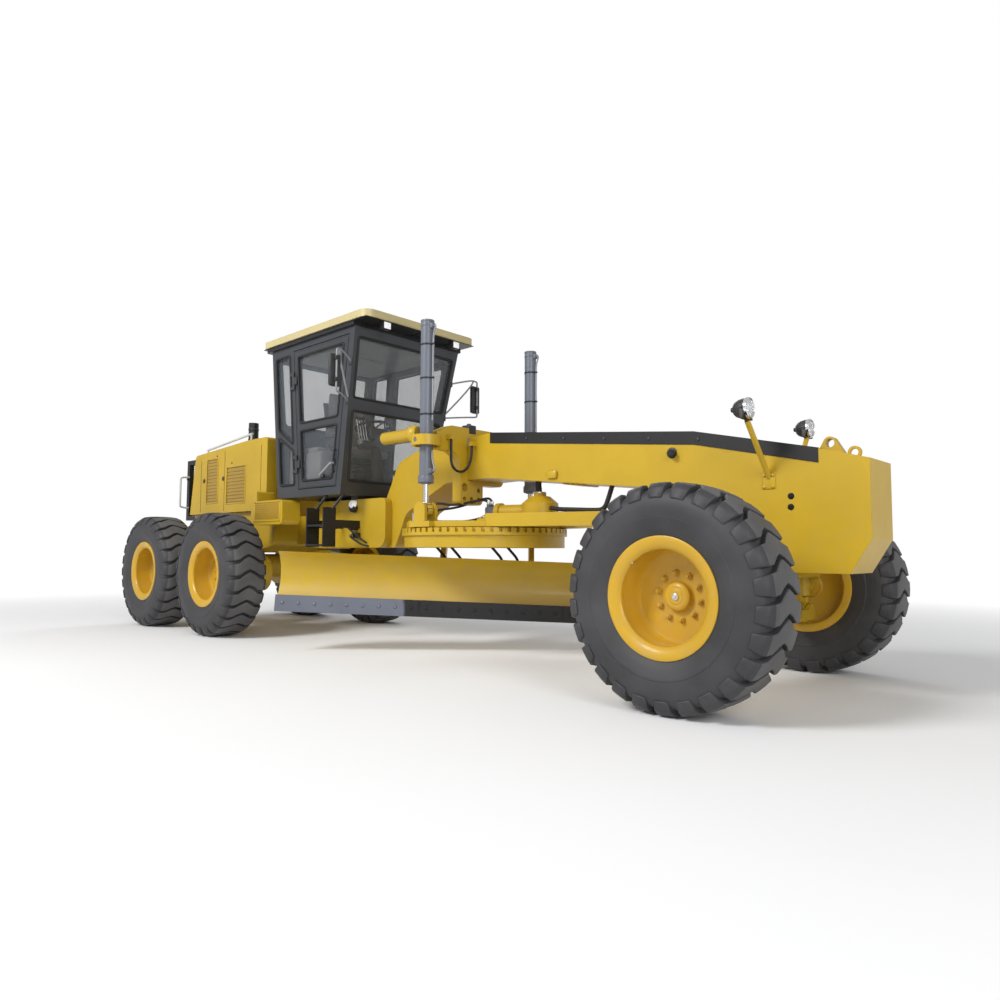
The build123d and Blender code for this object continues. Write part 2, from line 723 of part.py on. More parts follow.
def cab_block(inset):
    """Cab's outer form, drawn in by inset on every wall."""
    sections = []
    for z, front_x, half in (
        (cab_floor_z, cab_front_bottom_x - 13, cab_half_bottom - 4),
        (cab_top_z, cab_front_top_x, cab_half_top),
    ):
        x_low, x_high = cab_rear_x + inset, front_x - inset
        y = half - inset
        corners = ((x_low, -y), (x_high, -y), (x_high, y), (x_low, y))
        sections.append(Plane.XY.offset(z) * make_face(Polyline(*corners, close=True)))
    return loft(sections, ruled=True)


cab_outer = cab_block(0)
cab_inner = cab_block(cab_wall)
shell = cab_outer - cab_inner
door_low, door_high = cab_sill_z + 30, cab_top_z - 70
front_lean = (cab_front_top_x - cab_front_bottom_x) / (cab_top_z - cab_sill_z)


def cab_z(share):
    """Height of a share of the cab's walls, from 0 at the sill to 1 at the roof."""
    return cab_sill_z + share * (cab_top_z - cab_sill_z)


def front_x_at(z, behind):
    """x at height z of a line parallel to the front wall and that far behind it."""
    return cab_front_bottom_x + (z - cab_sill_z) * front_lean - behind


def side_window(x_low_rear, behind, z_low, z_high, radius):
    """Side outline with its front edge parallel to the leaning front wall."""
    return (
        (x_low_rear, z_low, radius),
        (front_x_at(z_low, behind), z_low, radius),
        (front_x_at(z_high, behind), z_high, radius),
        (x_low_rear, z_high, radius),
    )


door_post = 95.0
door_rear_x = pillar_x + 40
door_outline = side_window(door_rear_x, door_post, door_low, door_high, 0)
door_hole = side_window(
    door_rear_x - door_gap, door_post - door_gap, door_low - door_gap, door_high + door_gap, 0
)
shell -= across(door_hole, -900, 900)
glass_low, glass_high = cab_sill_z + 80, cab_top_z - 100
quarter = (
    (cab_rear_x + 75, cab_z(0.435), 60),
    (pillar_x - 45, cab_z(0.328), 60),
    (pillar_x - 45, glass_high, 60),
    (cab_rear_x + 75, glass_high, 60),
)
lower_quarter = (
    (cab_rear_x + 75, glass_low, 60),
    (pillar_x - 45, glass_low, 60),
    (pillar_x - 45, cab_z(0.284), 60),
    (cab_rear_x + 75, cab_z(0.391), 60),
)
side_panes = (quarter, lower_quarter)
for pane in side_panes:
    shell -= across(pane, -900, 900)
upper_low, lower_high = cab_z(0.568), cab_z(0.486)
front_panes = (
    ((-600, upper_low, 50), (600, upper_low, 50), (640, glass_high, 50), (-640, glass_high, 50)),
    ((-520, glass_low, 50), (520, glass_low, 50), (590, lower_high, 50), (-590, lower_high, 50)),
)
rear_pane = ((-540, lower_high, 50), (540, lower_high, 50), (600, glass_high, 50), (-600, glass_high, 50))
for pane in front_panes:
    shell -= along(pane, -4500, -3600)
shell -= along(rear_pane, cab_rear_x - 50, cab_rear_x + 200)
side_lean = (cab_half_top - cab_half_bottom) / (cab_top_z - cab_sill_z)


def side_y_at(z):
    """Outer face of the cab's side at height z."""
    return cab_half_bottom + (z - cab_sill_z) * side_lean


hinge_out = 18.0
hinge_x = door_rear_x - door_gap / 2
hinges_z = (cab_z(0.1514), cab_z(0.719))
hinge_length = 110.0
for z in hinges_z:
    for low, high in ((z - 40, z - pin_play), (z + hinge_length + pin_play, z + hinge_length + 40)):
        start = (hinge_x, side_y_at(low) + hinge_out, low)
        end = (hinge_x, side_y_at(high) + hinge_out, high)
        lug_y = side_y_at(low) - 2
        strap = bar(start, end, 14)
        strap += block(hinge_x - 60, hinge_x, lug_y, lug_y + hinge_out + 6, low + 2, high - 2)
        shell += strap + mirror(strap, Plane.XZ)
floor = cab_block(cab_wall) & block(roof_rear_x, roof_front_x, -900, 900, cab_floor_z, cab_floor_z + 60)
shell += floor
mount_z = 1465.0
for x in (-4250, -4850):
    shell += block(x - 60, x + 60, -280, 280, mount_z, cab_floor_z)
write("cab_frame", shell)

lining_front_x = cab_front_top_x + 8
roof_low = (
    ((roof_rear_x + 60, -roof_half_width + 20, 40), (lining_front_x, -roof_half_width + 20, 0)),
    ((lining_front_x, roof_half_width - 20, 0), (roof_rear_x + 60, roof_half_width - 20, 40)),
)
lining = upright(roof_low[0] + roof_low[1], cab_top_z, cab_top_z + roof_edge)
write("roof_lining", lining)
roof = upright(
    (
        (roof_rear_x, -roof_half_width, 110),
        (roof_front_x, -roof_half_width, 110),
        (roof_front_x, roof_half_width, 110),
        (roof_rear_x, roof_half_width, 110),
    ),
    cab_top_z + roof_edge,
    roof_top_z,
)
write("cab_roof", roof)

# Fixed glass lies in the middle of the walls
glass_band = cab_block(cab_wall / 2 - 4) - cab_block(cab_wall / 2 + 4)
glass = None
for pane in side_panes:
    both_sides = glass_band & across(pane, -900, 900)
    glass = both_sides if glass is None else glass + both_sides
for pane in front_panes:
    glass += glass_band & along(pane, -4500, -3600)
glass += glass_band & along(rear_pane, cab_rear_x - 50, cab_rear_x + 200)
write("cab_glass", glass)

# Doors, each with an upper and a lower pane; the left one is made and mirrored
door_panes = (
    side_window(door_rear_x + 70, door_post + 70, cab_z(0.461), door_high - 70, 60),
    side_window(door_rear_x + 70, door_post + 70, door_low + 80, cab_z(0.41), 60),
)
door = (cab_outer - cab_inner) & across(door_outline, 0, 900)
door_glass = None
for pane in door_panes:
    door = door - across(pane, 0, 900)
    light = (glass_band & across(pane, 0, 900))
    door_glass = light if door_glass is None else door_glass + light
for z in hinges_z:
    start = (hinge_x, side_y_at(z) + hinge_out, z)
    end = (hinge_x, side_y_at(z + hinge_length) + hinge_out, z + hinge_length)
    door += bar(start, end, 14)
    door += block(hinge_x, hinge_x + 60, side_y_at(z) - 2, side_y_at(z) + hinge_out + 6, z + 15, z + 95)
handle_z = cab_z(0.2145)
handle_x = front_x_at(handle_z, door_post + 35)
handle_ends = (
    (handle_x - 20, side_y_at(handle_z) + 30, handle_z - 60),
    (handle_x + 5, side_y_at(handle_z) + 34, handle_z + 60),
)
door += bar(*handle_ends, 10)
for z in (handle_z - 50, handle_z + 50):
    x = handle_x - 7 + (z - handle_z) * 0.2
    door += bar((x, side_y_at(z) - 5, z), (x, side_y_at(z) + 32, z), 8)
for name, side in (("left", 1), ("right", -1)):
    write(f"cab_door_{name}", on_side(door, side))
    write(f"door_glass_{name}", on_side(door_glass, side))

# Inside the cab: seat on its pedestal, steering column with wheel
deck_z = cab_floor_z + 60
seat_top_z = cab_z(0.681)
interior = block(-4850, -4350, -180, 180, deck_z, deck_z + 330)
interior += across(
    (
        (-4860, deck_z + 330, 30),
        (-4340, deck_z + 330, 40),
        (-4330, deck_z + 450, 60),
        (-4860, deck_z + 430, 0),
    ),
    -250,
    250,
)
interior += across(
    (
        (-4830, deck_z + 400, 0),
        (-4740, deck_z + 420, 0),
        (-4880, seat_top_z, 50),
        (-4990, seat_top_z, 50),
    ),
    -240,
    240,
)
column = bar((-4180, 0, deck_z), (-4310, 0, deck_z + 700), 60)
wheel_frame = Plane(origin=(-4330, 0, deck_z + 740), z_dir=(-130, 0, 700))
column += wheel_frame * Torus(190, 16)
column += wheel_frame * Box(380, 40, 16)
column += bar((-4310, 0, deck_z + 690), (-4330, 0, deck_z + 745), 34)
column -= block(-4400, -4000, -200, 200, deck_z - 200, deck_z)
write("cab_interior", interior, column)

# Ladders below the doors, joined to the belly
ladders = None
stringers_x = (-4420.0, -4127.0)
for side in (1, -1):
    for x in stringers_x:
        low, high = sorted((side * 600, side * 750))
        piece = block(x - 7, x + 7, low, high, 965, 1365)
        ladders = piece if ladders is None else ladders + piece
        ladders += bar((x, side * 640, 1350), (x + 60, side * 560, cab_floor_z - 12), 14)
        ladders += disc_z(x + 60, side * 560, cab_floor_z - 20, cab_floor_z, 22)
    for z in (972, 1170):
        low, high = sorted((side * 602, side * 748))
        ladders += block(stringers_x[0], stringers_x[1], low, high, z, z + 22)
    low, high = sorted((side * belly_half_width, side * 610))
    for x in stringers_x:
        ladders += block(x - 7, x + 7, low, high, 1160, 1240)
write("ladders", ladders)

# Mirrors on tube arms at the front posts
mirrors = None
mirror_x, mirror_y = -3650.0, 950.0
upper_z, lower_z = cab_z(0.782), cab_z(0.5426)  # of the two arms' feet
for side in (1, -1):
    x, y = mirror_x, side * mirror_y
    for start, end in (
        ((front_x_at(upper_z, 20), side * (side_y_at(upper_z) - 5), upper_z), (x, y, upper_z + 50)),
        ((front_x_at(lower_z, 20), side * (side_y_at(lower_z) - 5), lower_z), (x, y, lower_z + 20)),
        ((x, y, upper_z + 50), (x, y, lower_z + 20)),
    ):
        arm = bar(start, end, 11)
        mirrors = arm if mirrors is None else mirrors + arm
    mirrors += block(x - 60, x - 8, y - 62, y + 62, lower_z + 70, upper_z)
write("mirrors", mirrors - shell)

# Headlamps on posts from the sides of the nose
lamps = None
for side in (1, -1):
    post = bar((205, side * (beam_half_width - 20), 1400), (190, side * 505, 1770), 18)
    lamp = bar((130, side * 518, 1840), (225, side * 518, 1840), 66)
    lamp += bar((100, side * 518, 1840), (131, side * 518, 1840), 45)
    lamp += bar((190, side * 503, 1766), (190, side * 516, 1800), 14)
    lamps = post + lamp if lamps is None else lamps + post + lamp
write("headlamps", lamps - frame)

# Tandem cases, and the axle housing between them
case_half = tandem_spacing / 2
cases = []
for side in (1, -1):
    low, high = sorted((side * tandem_inner_y, side * tandem_outer_y))
    case = across(
        (
            (tandem_x - case_half - 220, tyre_radius - 200, 200),
            (tandem_x + case_half + 220, tyre_radius - 200, 200),
            (tandem_x + case_half + 220, tyre_radius + 180, 180),
            (tandem_x, tyre_radius + 260, 200),
            (tandem_x - case_half - 220, tyre_radius + 180, 180),
        ),
        low,
        high,
    )
    for x in rear_wheels_x:
        case += disc_y(x, side * (tandem_outer_y - 20), side * shoulder_y, tyre_radius, 80)
        case += disc_y(x, side * (tandem_outer_y - 20), side * spindle_end, tyre_radius, spindle_radius)
    case += disc_y(tandem_x, side * (tandem_inner_y - 60), side * tandem_inner_y, tyre_radius + 60, 210)
    cases.append(case)
write("tandem_cases", *cases)
housing_end = tandem_inner_y - 60
write("tandem_axle", disc_y(tandem_x, -housing_end, housing_end, tyre_radius + 60, 150))

# Rear frame: chassis box with the hitch tongue, seated on the axle housing
chassis = across(
    (
        (hood_front_x + 75, chassis_low + 90, 60),
        (hood_front_x + 75, hood_bottom_z, 0),
        (-7629, hood_bottom_z, 0),
        (-7629, chassis_low + 120, 80),
        (tandem_x - 300, chassis_low, 0),
        (tandem_x + 300, chassis_low, 0),
    ),
    -chassis_half_width,
    chassis_half_width,
)
seats = None
for side in (1, -1):
    low, high = sorted((side * 250, side * 400))
    seat = block(tandem_x - 170, tandem_x + 170, low, high, tyre_radius + 60, chassis_low)
    seats = seat if seats is None else seats + seat
write("axle_seats", seats - disc_y(tandem_x, -housing_end, housing_end, tyre_radius + 60, 150))
tongue_low, tongue_high = hitch_low + running_gap, hitch_high - running_gap
tongue = block(hood_front_x + 70, hitch_x, -hitch_plate_radius, hitch_plate_radius, tongue_low, tongue_high)
tongue += disc_z(hitch_x, 0, tongue_low, tongue_high, hitch_plate_radius)
chassis += tongue - disc_z(hitch_x, 0, tongue_low - 1, tongue_high + 1, hitch_pin_radius + pin_play)
tow_x, tow_z, tow_radius = -7790.0, 1080.0, 26.0
for z in (tow_z - 75, tow_z + 35):
    chassis += block(tow_x, -7600, -90, 90, z, z + 40)
    chassis += disc_z(tow_x, 0, z, z + 40, 90)
chassis -= disc_z(tow_x, 0, tow_z - 100, tow_z + 100, tow_radius)
write("rear_frame", chassis)

# Side tanks in front of the hood
tank_inner, tank_outer = 480.0, 700.0
tanks = None
for side in (1, -1):
    low, high = sorted((side * tank_inner, side * tank_outer))
    tank = across(
        (
            (-5590, 1211, 60),
            (-4972, 1211, 60),
            (-4972, 1480, 40),
            (-5515, 1480, 0),
            (-5515, 1595, 20),
            (-5590, 1595, 20),
        ),
        low,
        high,
    )
    low, high = sorted((side * chassis_half_width, side * tank_outer))
    tank += block(-5640, -5585, low, high, 1215, 1390)
    tanks = tank if tanks is None else tanks + tank
write("side_tanks", tanks)

# Hood over the engine: sloping top, thin walls, open below
hood_side = (
    (hood_front_x, hood_bottom_z, 0),
    (hood_front_x, hood_top_z, 40),
    (hood_slope_x, hood_top_z, 0),
    (hood_rear_x + 60, hood_tail_z, 60),
    (hood_rear_x - 69, hood_bottom_z, 0),
)
inner_side = (
    (hood_front_x - hood_wall, hood_bottom_z - 1, 0),
    (hood_front_x - hood_wall, hood_top_z - hood_wall, 0),
    (hood_slope_x, hood_top_z - hood_wall, 0),
    (hood_rear_x + 60 + hood_wall, hood_tail_z - hood_wall, 0),
    (hood_rear_x - 69 + hood_wall, hood_bottom_z - 1, 0),
)
hood_block = across(hood_side, -hood_half_width, hood_half_width)
hood = hood_block
hood -= across(inner_side, -hood_half_width + hood_wall, hood_half_width - hood_wall)
grille_holes = (  # x rear, x front, z low, z high
    (-7160, -6870, 1540, 2094),
    (-6625, -6170, 1514, 1957),
)
louvre_pitch = 42.0
grilles = None
for x_low, x_high, z_low, z_high in grille_holes:
    hood -= block(x_low, x_high, -900, 900, z_low, z_high)
    for side in (1, -1):
        low, high = sorted((side * (hood_half_width - 20), side * (hood_half_width - 8)))
        panel = block(x_low, x_high, low, high, z_low, z_high)
        out_low, out_high = sorted((side * (hood_half_width - 10), side * (hood_half_width - 1)))
        for step in range(int((z_high - z_low) / louvre_pitch)):
            z = z_low + louvre_pitch * (step + 0.5)
            panel += block(x_low, x_high, out_low, out_high, z - 9, z + 9)
        grilles = panel if grilles is None else grilles + panel
write("hood", hood)
write("hood_grilles", grilles)
write("engine", block(-7350, -5900, -320, 320, hood_bottom_z, 2050))

# Rear guard round the radiator's outlet
guard_rear = tail_x
guard = block(guard_rear, guard_rear + 70, -430, -370, 1330, 2150)
guard += block(guard_rear, guard_rear + 70, 370, 430, 1330, 2150)
guard += block(guard_rear, guard_rear + 70, -430, 430, 2090, 2150)
guard += block(guard_rear, guard_rear + 70, -430, 430, 1330, 1390)
for y_low, y_high in ((-430, -370), (370, 430)):
    guard += block(guard_rear, hood_rear_x - 40, y_low, y_high, 1330, 1390) - hood - chassis
    guard += block(guard_rear, hood_rear_x + 20, y_low, y_high, 2090, 2150) - hood
write("rear_guard", guard)

# Handrails along the top of the hood
rails = None
for side in (1, -1):
    y = side * (hood_half_width - 60)
    points = ((-7300, y, 2245), (-6130, y, 2350))
    rail = bar(points[0], points[1], 14)
    for share in (0.02, 0.98):
        x = points[0][0] + (points[1][0] - points[0][0]) * share
        z = points[0][2] + (points[1][2] - points[0][2]) * share
        rail += bar((x, y, 2100), (x, y, z), 12)
    rails = rail if rails is None else rails + rail
write("handrails", rails - hood_block)

# Exhaust stack with a slanted mouth
stack_x, stack_y = -6360.0, -300.0
stack = disc_z(stack_x, stack_y, hood_top_z - 60, 2520, 60)
stack -= disc_z(stack_x, stack_y, 2300, 2521, 52) + hood_block
write("exhaust", stack)

# Hoses: (x, y, z) routes with arcs at their corners, printed with their radii


def hose(points, radius):
    """Tube along straight runs joined by the largest arcs that they allow."""
    corners = [Vector(*p) for p in points]
    radii = []
    for before, here, after in zip(corners, corners[1:], corners[2:]):
        turn_angle = (here - before).get_angle(after - here)
        run = min((here - before).length, (after - here).length)
        radii.append(0.45 * run / tan(radians(turn_angle) / 2))
    print("hose radii", [round(r) for r in radii])
    line = FilletPolyline(*points, radius=radii)
    section = Plane(origin=line @ 0, z_dir=line % 0) * Circle(radius)
    tube = sweep(section, path=line)
    return tube


saddle_hose = (
    (hose_x, -470, hose_high_z),
    (hose_x, -470, 1810),
    (hose_x + 4, -474, 1700),
    (hose_x + 10, -415, 1640),
    (hose_x + 20, -330, 1640),
    (hose_x + 30, -272, 1700),
    (hose_end_x, -262, 1800),
    (hose_end_x, -262, hose_low_z),
)
write("saddle_hose", hose(saddle_hose, hose_radius))

for name, count, volume in written:
    print(f"{name:22s} {count:3d} solids {volume / 1e6:10.2f} litres")
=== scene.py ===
# %% [markdown]
# # A motor grader
# A motor grader shapes earth roads with a long curved blade hung between its axles. This lesson dresses the
# machine's drawn frame: each drawn piece keeps its place, gets its real finish, and where its surface is
# richer than the drawing, a finer piece takes over. Everything stands in metres, +X forward, +Z up.

# %% Load the machine
from math import cos, hypot, pi, radians, sin

import bmesh
import bpy
from mathutils import Matrix, Vector


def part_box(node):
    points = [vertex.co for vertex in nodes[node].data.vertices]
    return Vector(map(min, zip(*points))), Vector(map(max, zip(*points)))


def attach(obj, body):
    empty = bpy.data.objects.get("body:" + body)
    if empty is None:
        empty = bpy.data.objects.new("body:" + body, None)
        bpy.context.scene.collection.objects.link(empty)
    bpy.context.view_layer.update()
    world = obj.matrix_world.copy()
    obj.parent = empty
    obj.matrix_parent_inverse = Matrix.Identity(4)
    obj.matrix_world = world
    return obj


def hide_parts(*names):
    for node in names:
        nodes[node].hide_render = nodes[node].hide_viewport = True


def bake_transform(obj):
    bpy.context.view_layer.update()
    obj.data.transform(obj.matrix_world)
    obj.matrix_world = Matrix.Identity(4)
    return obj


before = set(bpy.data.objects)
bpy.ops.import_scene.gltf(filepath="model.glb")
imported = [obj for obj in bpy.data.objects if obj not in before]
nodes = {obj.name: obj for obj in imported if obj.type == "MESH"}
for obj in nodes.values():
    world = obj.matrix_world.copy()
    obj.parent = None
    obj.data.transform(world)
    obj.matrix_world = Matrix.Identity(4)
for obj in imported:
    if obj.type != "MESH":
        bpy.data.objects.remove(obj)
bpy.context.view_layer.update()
print("pieces drawn:", len(nodes))

# %% [markdown]
# The machine's own drawing measures lengths in millimetres from the front axle. One small helper turns such
# a point into the frame's metres, so that every size below reads as on the drawing. Most pieces come in
# pairs, so the two sides are named once, with the sign of their Y.

# %% Drawing points
FRONT_AXLE = 3537.0
MID_AXLE, REAR_AXLE = -5600, -7180
AXLE_HEIGHT, HALF_TRACK = 670, 1075
HITCH_X = -5250
SIDES = (("left", 1), ("right", -1))


def at(x, y, z):
    """A point in mm from the front axle, as a vector in metres."""
    return Vector((x + FRONT_AXLE, y, z)) / 1000


print("front axle at", at(0, 0, AXLE_HEIGHT)[:])

# %% [markdown]
# The camera stands low, ahead of the right front wheel, with a fairly wide lens. Its turn is written as
# three directions: where it looks, what is right and what is up. Angles alone would do, but the three
# directions show what the matrix is made of.

# %% Camera
def add_object(name, data):
    """A new object in the scene for a mesh, a curve, a lamp or a camera."""
    piece = bpy.data.objects.new(name, data)
    bpy.context.scene.collection.objects.link(piece)
    return piece


heading, rise, roll = radians(42.78), radians(3.90), radians(0.23)
look = Vector((-sin(heading) * cos(rise), cos(heading) * cos(rise), sin(rise)))
level_right = Vector((cos(heading), sin(heading), 0))
level_up = level_right.cross(look)
right = level_right * cos(roll) + level_up * sin(roll)
up = level_up * cos(roll) - level_right * sin(roll)
camera_data = bpy.data.cameras.new("camera")
camera_data.lens = 26.71
camera_data.sensor_width = 36.0
camera = add_object("camera", camera_data)
turn = Matrix((right, up, -look)).transposed().to_4x4()
camera.matrix_world = Matrix.Translation(at(2209, -4989, 935)) @ turn
bpy.context.scene.camera = camera
print("camera at", [round(v, 3) for v in camera.matrix_world.translation])

# %% [markdown]
# Shader nodes can be read like sums. A small class wraps one output of a node: adding or multiplying two of
# them makes the Math node that does it. Another class gathers the nodes of a material or of the world, and
# has one method that makes any node.

# %% Shader sums
class Flow:
    """A number or colour that flows out of a shader node."""

    def __init__(self, owner, socket):
        self.owner = owner
        self.socket = socket

    def math(self, operation, *values, **settings):
        return self.owner.node("ShaderNodeMath", {"operation": operation, **settings}, dict(enumerate(values)))

    def __add__(self, other):
        return self.math("ADD", self, other)

    __radd__ = __add__

    def __mul__(self, other):
        return self.math("MULTIPLY", self, other)

    __rmul__ = __mul__

    def __sub__(self, other):
        return self.math("SUBTRACT", self, other)

    def __rsub__(self, other):
        return self.math("SUBTRACT", other, self)

    def __truediv__(self, other):
        return self.math("DIVIDE", self, other)

    def clipped(self):
        """The same number, held between 0 and 1."""
        return self.math("ADD", self, 0.0, use_clamp=True)

    def between(self, low, high):
        """0 below low, 1 above high, and even in between."""
        return ((self - low) / (high - low)).clipped()


class NodeTree:
    """The shader nodes of one material or of the world."""

    def __init__(self, owner):
        owner.use_nodes = True
        self.tree = owner.node_tree
        self.tree.nodes.clear()

    def node(self, kind, settings=None, sockets=None, output=0):
        """Make a node, set it, feed its sockets with values or flows, and give one of its outputs."""
        made = self.tree.nodes.new(kind)
        for key, value in (settings or {}).items():
            setattr(made, key, value)
        for key, value in (sockets or {}).items():
            if isinstance(value, Flow):
                self.tree.links.new(value.socket, made.inputs[key])
            else:
                made.inputs[key].default_value = value
        return Flow(self, made.outputs[output])

    def shown_by(self, kind, shader):
        """Let the output node of this kind show the shader."""
        self.tree.links.new(shader.socket, self.tree.nodes.new(kind).inputs["Surface"])


print("shader sums ready")

# %% [markdown]
# A finish is one material. Its patterns read the piece's own coordinates, in metres, so a grain has its
# real size wherever the piece is, and it stays on the piece when the machine moves.

# %% Finish
class Finish(NodeTree):
    """One material and the patterns that make its look."""

    def __init__(self, name):
        self.material = bpy.data.materials.new(name)
        super().__init__(self.material)
        self.place = self.node("ShaderNodeTexCoord", output="Object")

    def mix(self, share, one, other):
        """Colour one where share is 0, other where it is 1."""
        one, other = ((*c, 1.0) if isinstance(c, tuple) else c for c in (one, other))
        return self.node("ShaderNodeMix", {"data_type": "RGBA"}, {0: share, 6: one, 7: other}, output=2)

    def grain(self, scale, detail=3.0, place=None):
        """Noise from 0 to 1; scale is in lumps a metre."""
        sockets = {"Vector": place or self.place, "Scale": scale, "Detail": detail}
        return self.node("ShaderNodeTexNoise", None, sockets)

    def waves(self, direction, scale):
        """Soft parallel bands that follow each other in a direction."""
        settings = {"wave_type": "BANDS", "bands_direction": direction, "wave_profile": "SIN"}
        return self.node("ShaderNodeTexWave", settings, {"Vector": self.place, "Scale": scale})

    def metres(self, axis):
        """Where a point is along one axis of the machine, at rest."""
        return self.node("ShaderNodeSeparateXYZ", None, {"Vector": self.place}, output=axis)

    def soft_edges(self, radius):
        """Normal that rounds sharp edges by a radius in metres."""
        return self.node("ShaderNodeBevel", {"samples": 4}, {"Radius": radius})

    def bump(self, height, distance, normal=None):
        """Normal that stands a pattern up by a distance in metres."""
        sockets = {"Height": height, "Distance": distance}
        if normal is not None:
            sockets["Normal"] = normal
        return self.node("ShaderNodeBump", None, sockets)

    def surface(self, **sockets):
        """Principled surface; an underscore in a name stands for a space."""
        named = {key.replace("_", " "): value for key, value in sockets.items()}
        for key, value in named.items():
            if isinstance(value, tuple) and "Color" in key:
                named[key] = (*value, 1.0)
        self.shown_by("ShaderNodeOutputMaterial", self.node("ShaderNodeBsdfPrincipled", None, named))
        return self.material


def shade(colour, share):
    """The same colour, darker for a share under 1 and paler above it."""
    return tuple(c * share for c in colour)


print("finish ready")

# %% [markdown]
# Machine paint is thick and glossy, with a fine orange peel. Close up its colour drifts a little, dust lies
# on it low down, and sharp plate edges are really rounded by a few millimetres, which is what catches
# light. A bevel on every plate would cost many faces, so the Bevel node rounds the edges in the shading
# alone.

# %% Paint finishes
# The second colour is a pale tan, the colour of a painted reflection low on the blade.
DUST, REFLECTED_TAN = (0.34, 0.28, 0.2), (0.68, 0.54, 0.27)
YELLOW = (0.57, 0.37, 0.02)


def painted(name, colour, rough=0.36, dust=0.3, edge=0.006, reflected_band_heights=None):
    """Sprayed paint over plate or castings; with two heights in metres, a painted reflection makes it paler
    below them.
    """
    paint = Finish(name)
    drift = paint.grain(1.7, 4.0)
    peel = paint.grain(160.0, 2.0)
    tone = paint.mix(drift.between(0.35, 0.7), colour, shade(colour, 0.86))
    low = 1 - paint.metres("Z").between(0.15, 1.3)
    dusty = (low * paint.grain(9.0, 5.0).between(0.45, 0.75) * dust).clipped()
    tone = paint.mix(dusty, tone, DUST)
    # Painted reflection: below the lower height the colour goes half way to the pale tan, fading out by the
    # upper height.
    if reflected_band_heights:
        pale = (1 - paint.metres("Z").between(*reflected_band_heights)) * 0.5
        tone = paint.mix(pale, tone, REFLECTED_TAN)
    return paint.surface(
        Base_Color=tone,
        Roughness=(drift * 0.16 + dusty * 0.4 + (rough - 0.08)).clipped(),
        Normal=paint.bump(peel, 0.0004, paint.soft_edges(edge)),
        Specular_IOR_Level=0.35,
        Coat_Weight=0.15,
        Coat_Roughness=0.15,
    )


yellow_paint = painted("yellow_paint", YELLOW)
# The roof gets a paler, greyer copy of the yellow paint: a painted highlight where light falls on its top.
roof_highlight_yellow = painted("roof_painted_highlight", (0.58, 0.49, 0.25), rough=0.4)
# The blade's lower part is painted paler: a painted reflection.
blade_paint = painted("blade_paint", YELLOW, reflected_band_heights=(0.43, 0.68))
rim_paint = painted("rim_paint", (0.62, 0.365, 0.022), rough=0.38)
cab_paint = painted("cab_dark_paint", (0.044, 0.048, 0.055), rough=0.40, dust=0.15)
black_paint = painted("black_paint", (0.012, 0.012, 0.0135), rough=0.46, dust=0.2)
cylinder_paint = painted("cylinder_grey_paint", (0.15, 0.165, 0.20), rough=0.33, dust=0.1)
# The grilles' paint is the yellow darkened to brown: painted shade in their louvres and mesh.
grille_shaded_yellow = painted("grille_painted_shade", (0.42, 0.265, 0.04), rough=0.5)
latch_brown = painted("latch_brown_paint", (0.10, 0.045, 0.02), rough=0.5)
rail_white = painted("rail_white_paint", (0.62, 0.62, 0.63), rough=0.4, edge=0.003)
arm_grey = painted("arm_grey_paint", (0.30, 0.31, 0.34), rough=0.38, dust=0.1, edge=0.003)
# Near-black, matt paint for the nose's holes: painted shade on discs where the holes are.
hole_shade_black = painted("hole_painted_shade", (0.004, 0.004, 0.004), rough=0.8, dust=0.0)
print("paints:", len(bpy.data.materials))

# %% [markdown]
# Tyre rubber is nearly black and matt. The faces of its bars, which touch the ground, are a paler grey, partly
# worn and partly painted light from the front, so they get a rubber of their own. Seals and hoses are smoother
# and have a finer grit.

# %% Rubber finishes
def rubbery(name, colour, worn, rough, lumps=35.0):
    """Rubber that varies in clouds between two colours; lumps a metre is how fine its grit is."""
    rubber = Finish(name)
    cloud = rubber.grain(3.0, 5.0)
    grit = rubber.grain(lumps, 6.0)
    return rubber.surface(
        Base_Color=rubber.mix(cloud.between(0.3, 0.75), colour, worn),
        Roughness=(cloud * 0.14 + (rough - 0.07)).clipped(),
        Normal=rubber.bump(grit, 0.0006),
        Specular_IOR_Level=0.4,
    )


tyre_rubber = rubbery("tyre_rubber", (0.032, 0.032, 0.035), (0.060, 0.059, 0.062), 0.56)
# The bars' faces are paler: partly wear, partly painted light from the front.
worn_and_lit_tread_rubber = rubbery("worn_and_lit_tread_rubber", (0.070, 0.069, 0.072), (0.130, 0.127, 0.127), 0.60)
hose_rubber = rubbery("hose_rubber", (0.016, 0.016, 0.017), (0.026, 0.025, 0.025), 0.5, lumps=220.0)
seal_rubber = rubbery("seal_rubber", (0.012, 0.012, 0.013), (0.02, 0.02, 0.02), 0.6, lumps=90.0)
print("with rubber:", len(bpy.data.materials))

# %% [markdown]
# Bare metals: hard chrome on the cylinder rods, zinc on rails and fittings, and the blue-grey rolled steel
# of the cutting edge, which is scored along its length by the ground. Its forward plates are newer and keep
# their black coat. Noise that is squeezed along one axis turns into such fine lines.

# %% Metal finishes
BLACK_COAT = (0.003, 0.003, 0.0035)


def bare_metal(name, colour, rough, streak=0.0, squeeze=(1.0, 1.0, 1.0), depth=0.0002, dark_from=None):
    """Metal with fine lines; ahead of dark_from, a length in metres, it still has its black coat."""
    metal = Finish(name)
    squeezed = metal.node("ShaderNodeMapping", None, {"Vector": metal.place, "Scale": squeeze})
    scores = metal.grain(60.0, 4.0, squeezed)
    cloud = metal.grain(5.0, 4.0)
    tone = metal.mix((cloud * streak).clipped(), colour, shade(colour, 0.6))
    bare = 1.0
    if dark_from is not None:
        coated = (metal.metres("X") + cloud * 0.05).between(dark_from, dark_from + 0.02)
        tone = metal.mix(coated, tone, BLACK_COAT)
        bare = 1 - coated
    return metal.surface(
        Base_Color=tone,
        Metallic=bare,
        Roughness=(scores * 0.2 + (rough - 0.1)).clipped(),
        Normal=metal.bump(scores, depth, metal.soft_edges(0.002)),
    )


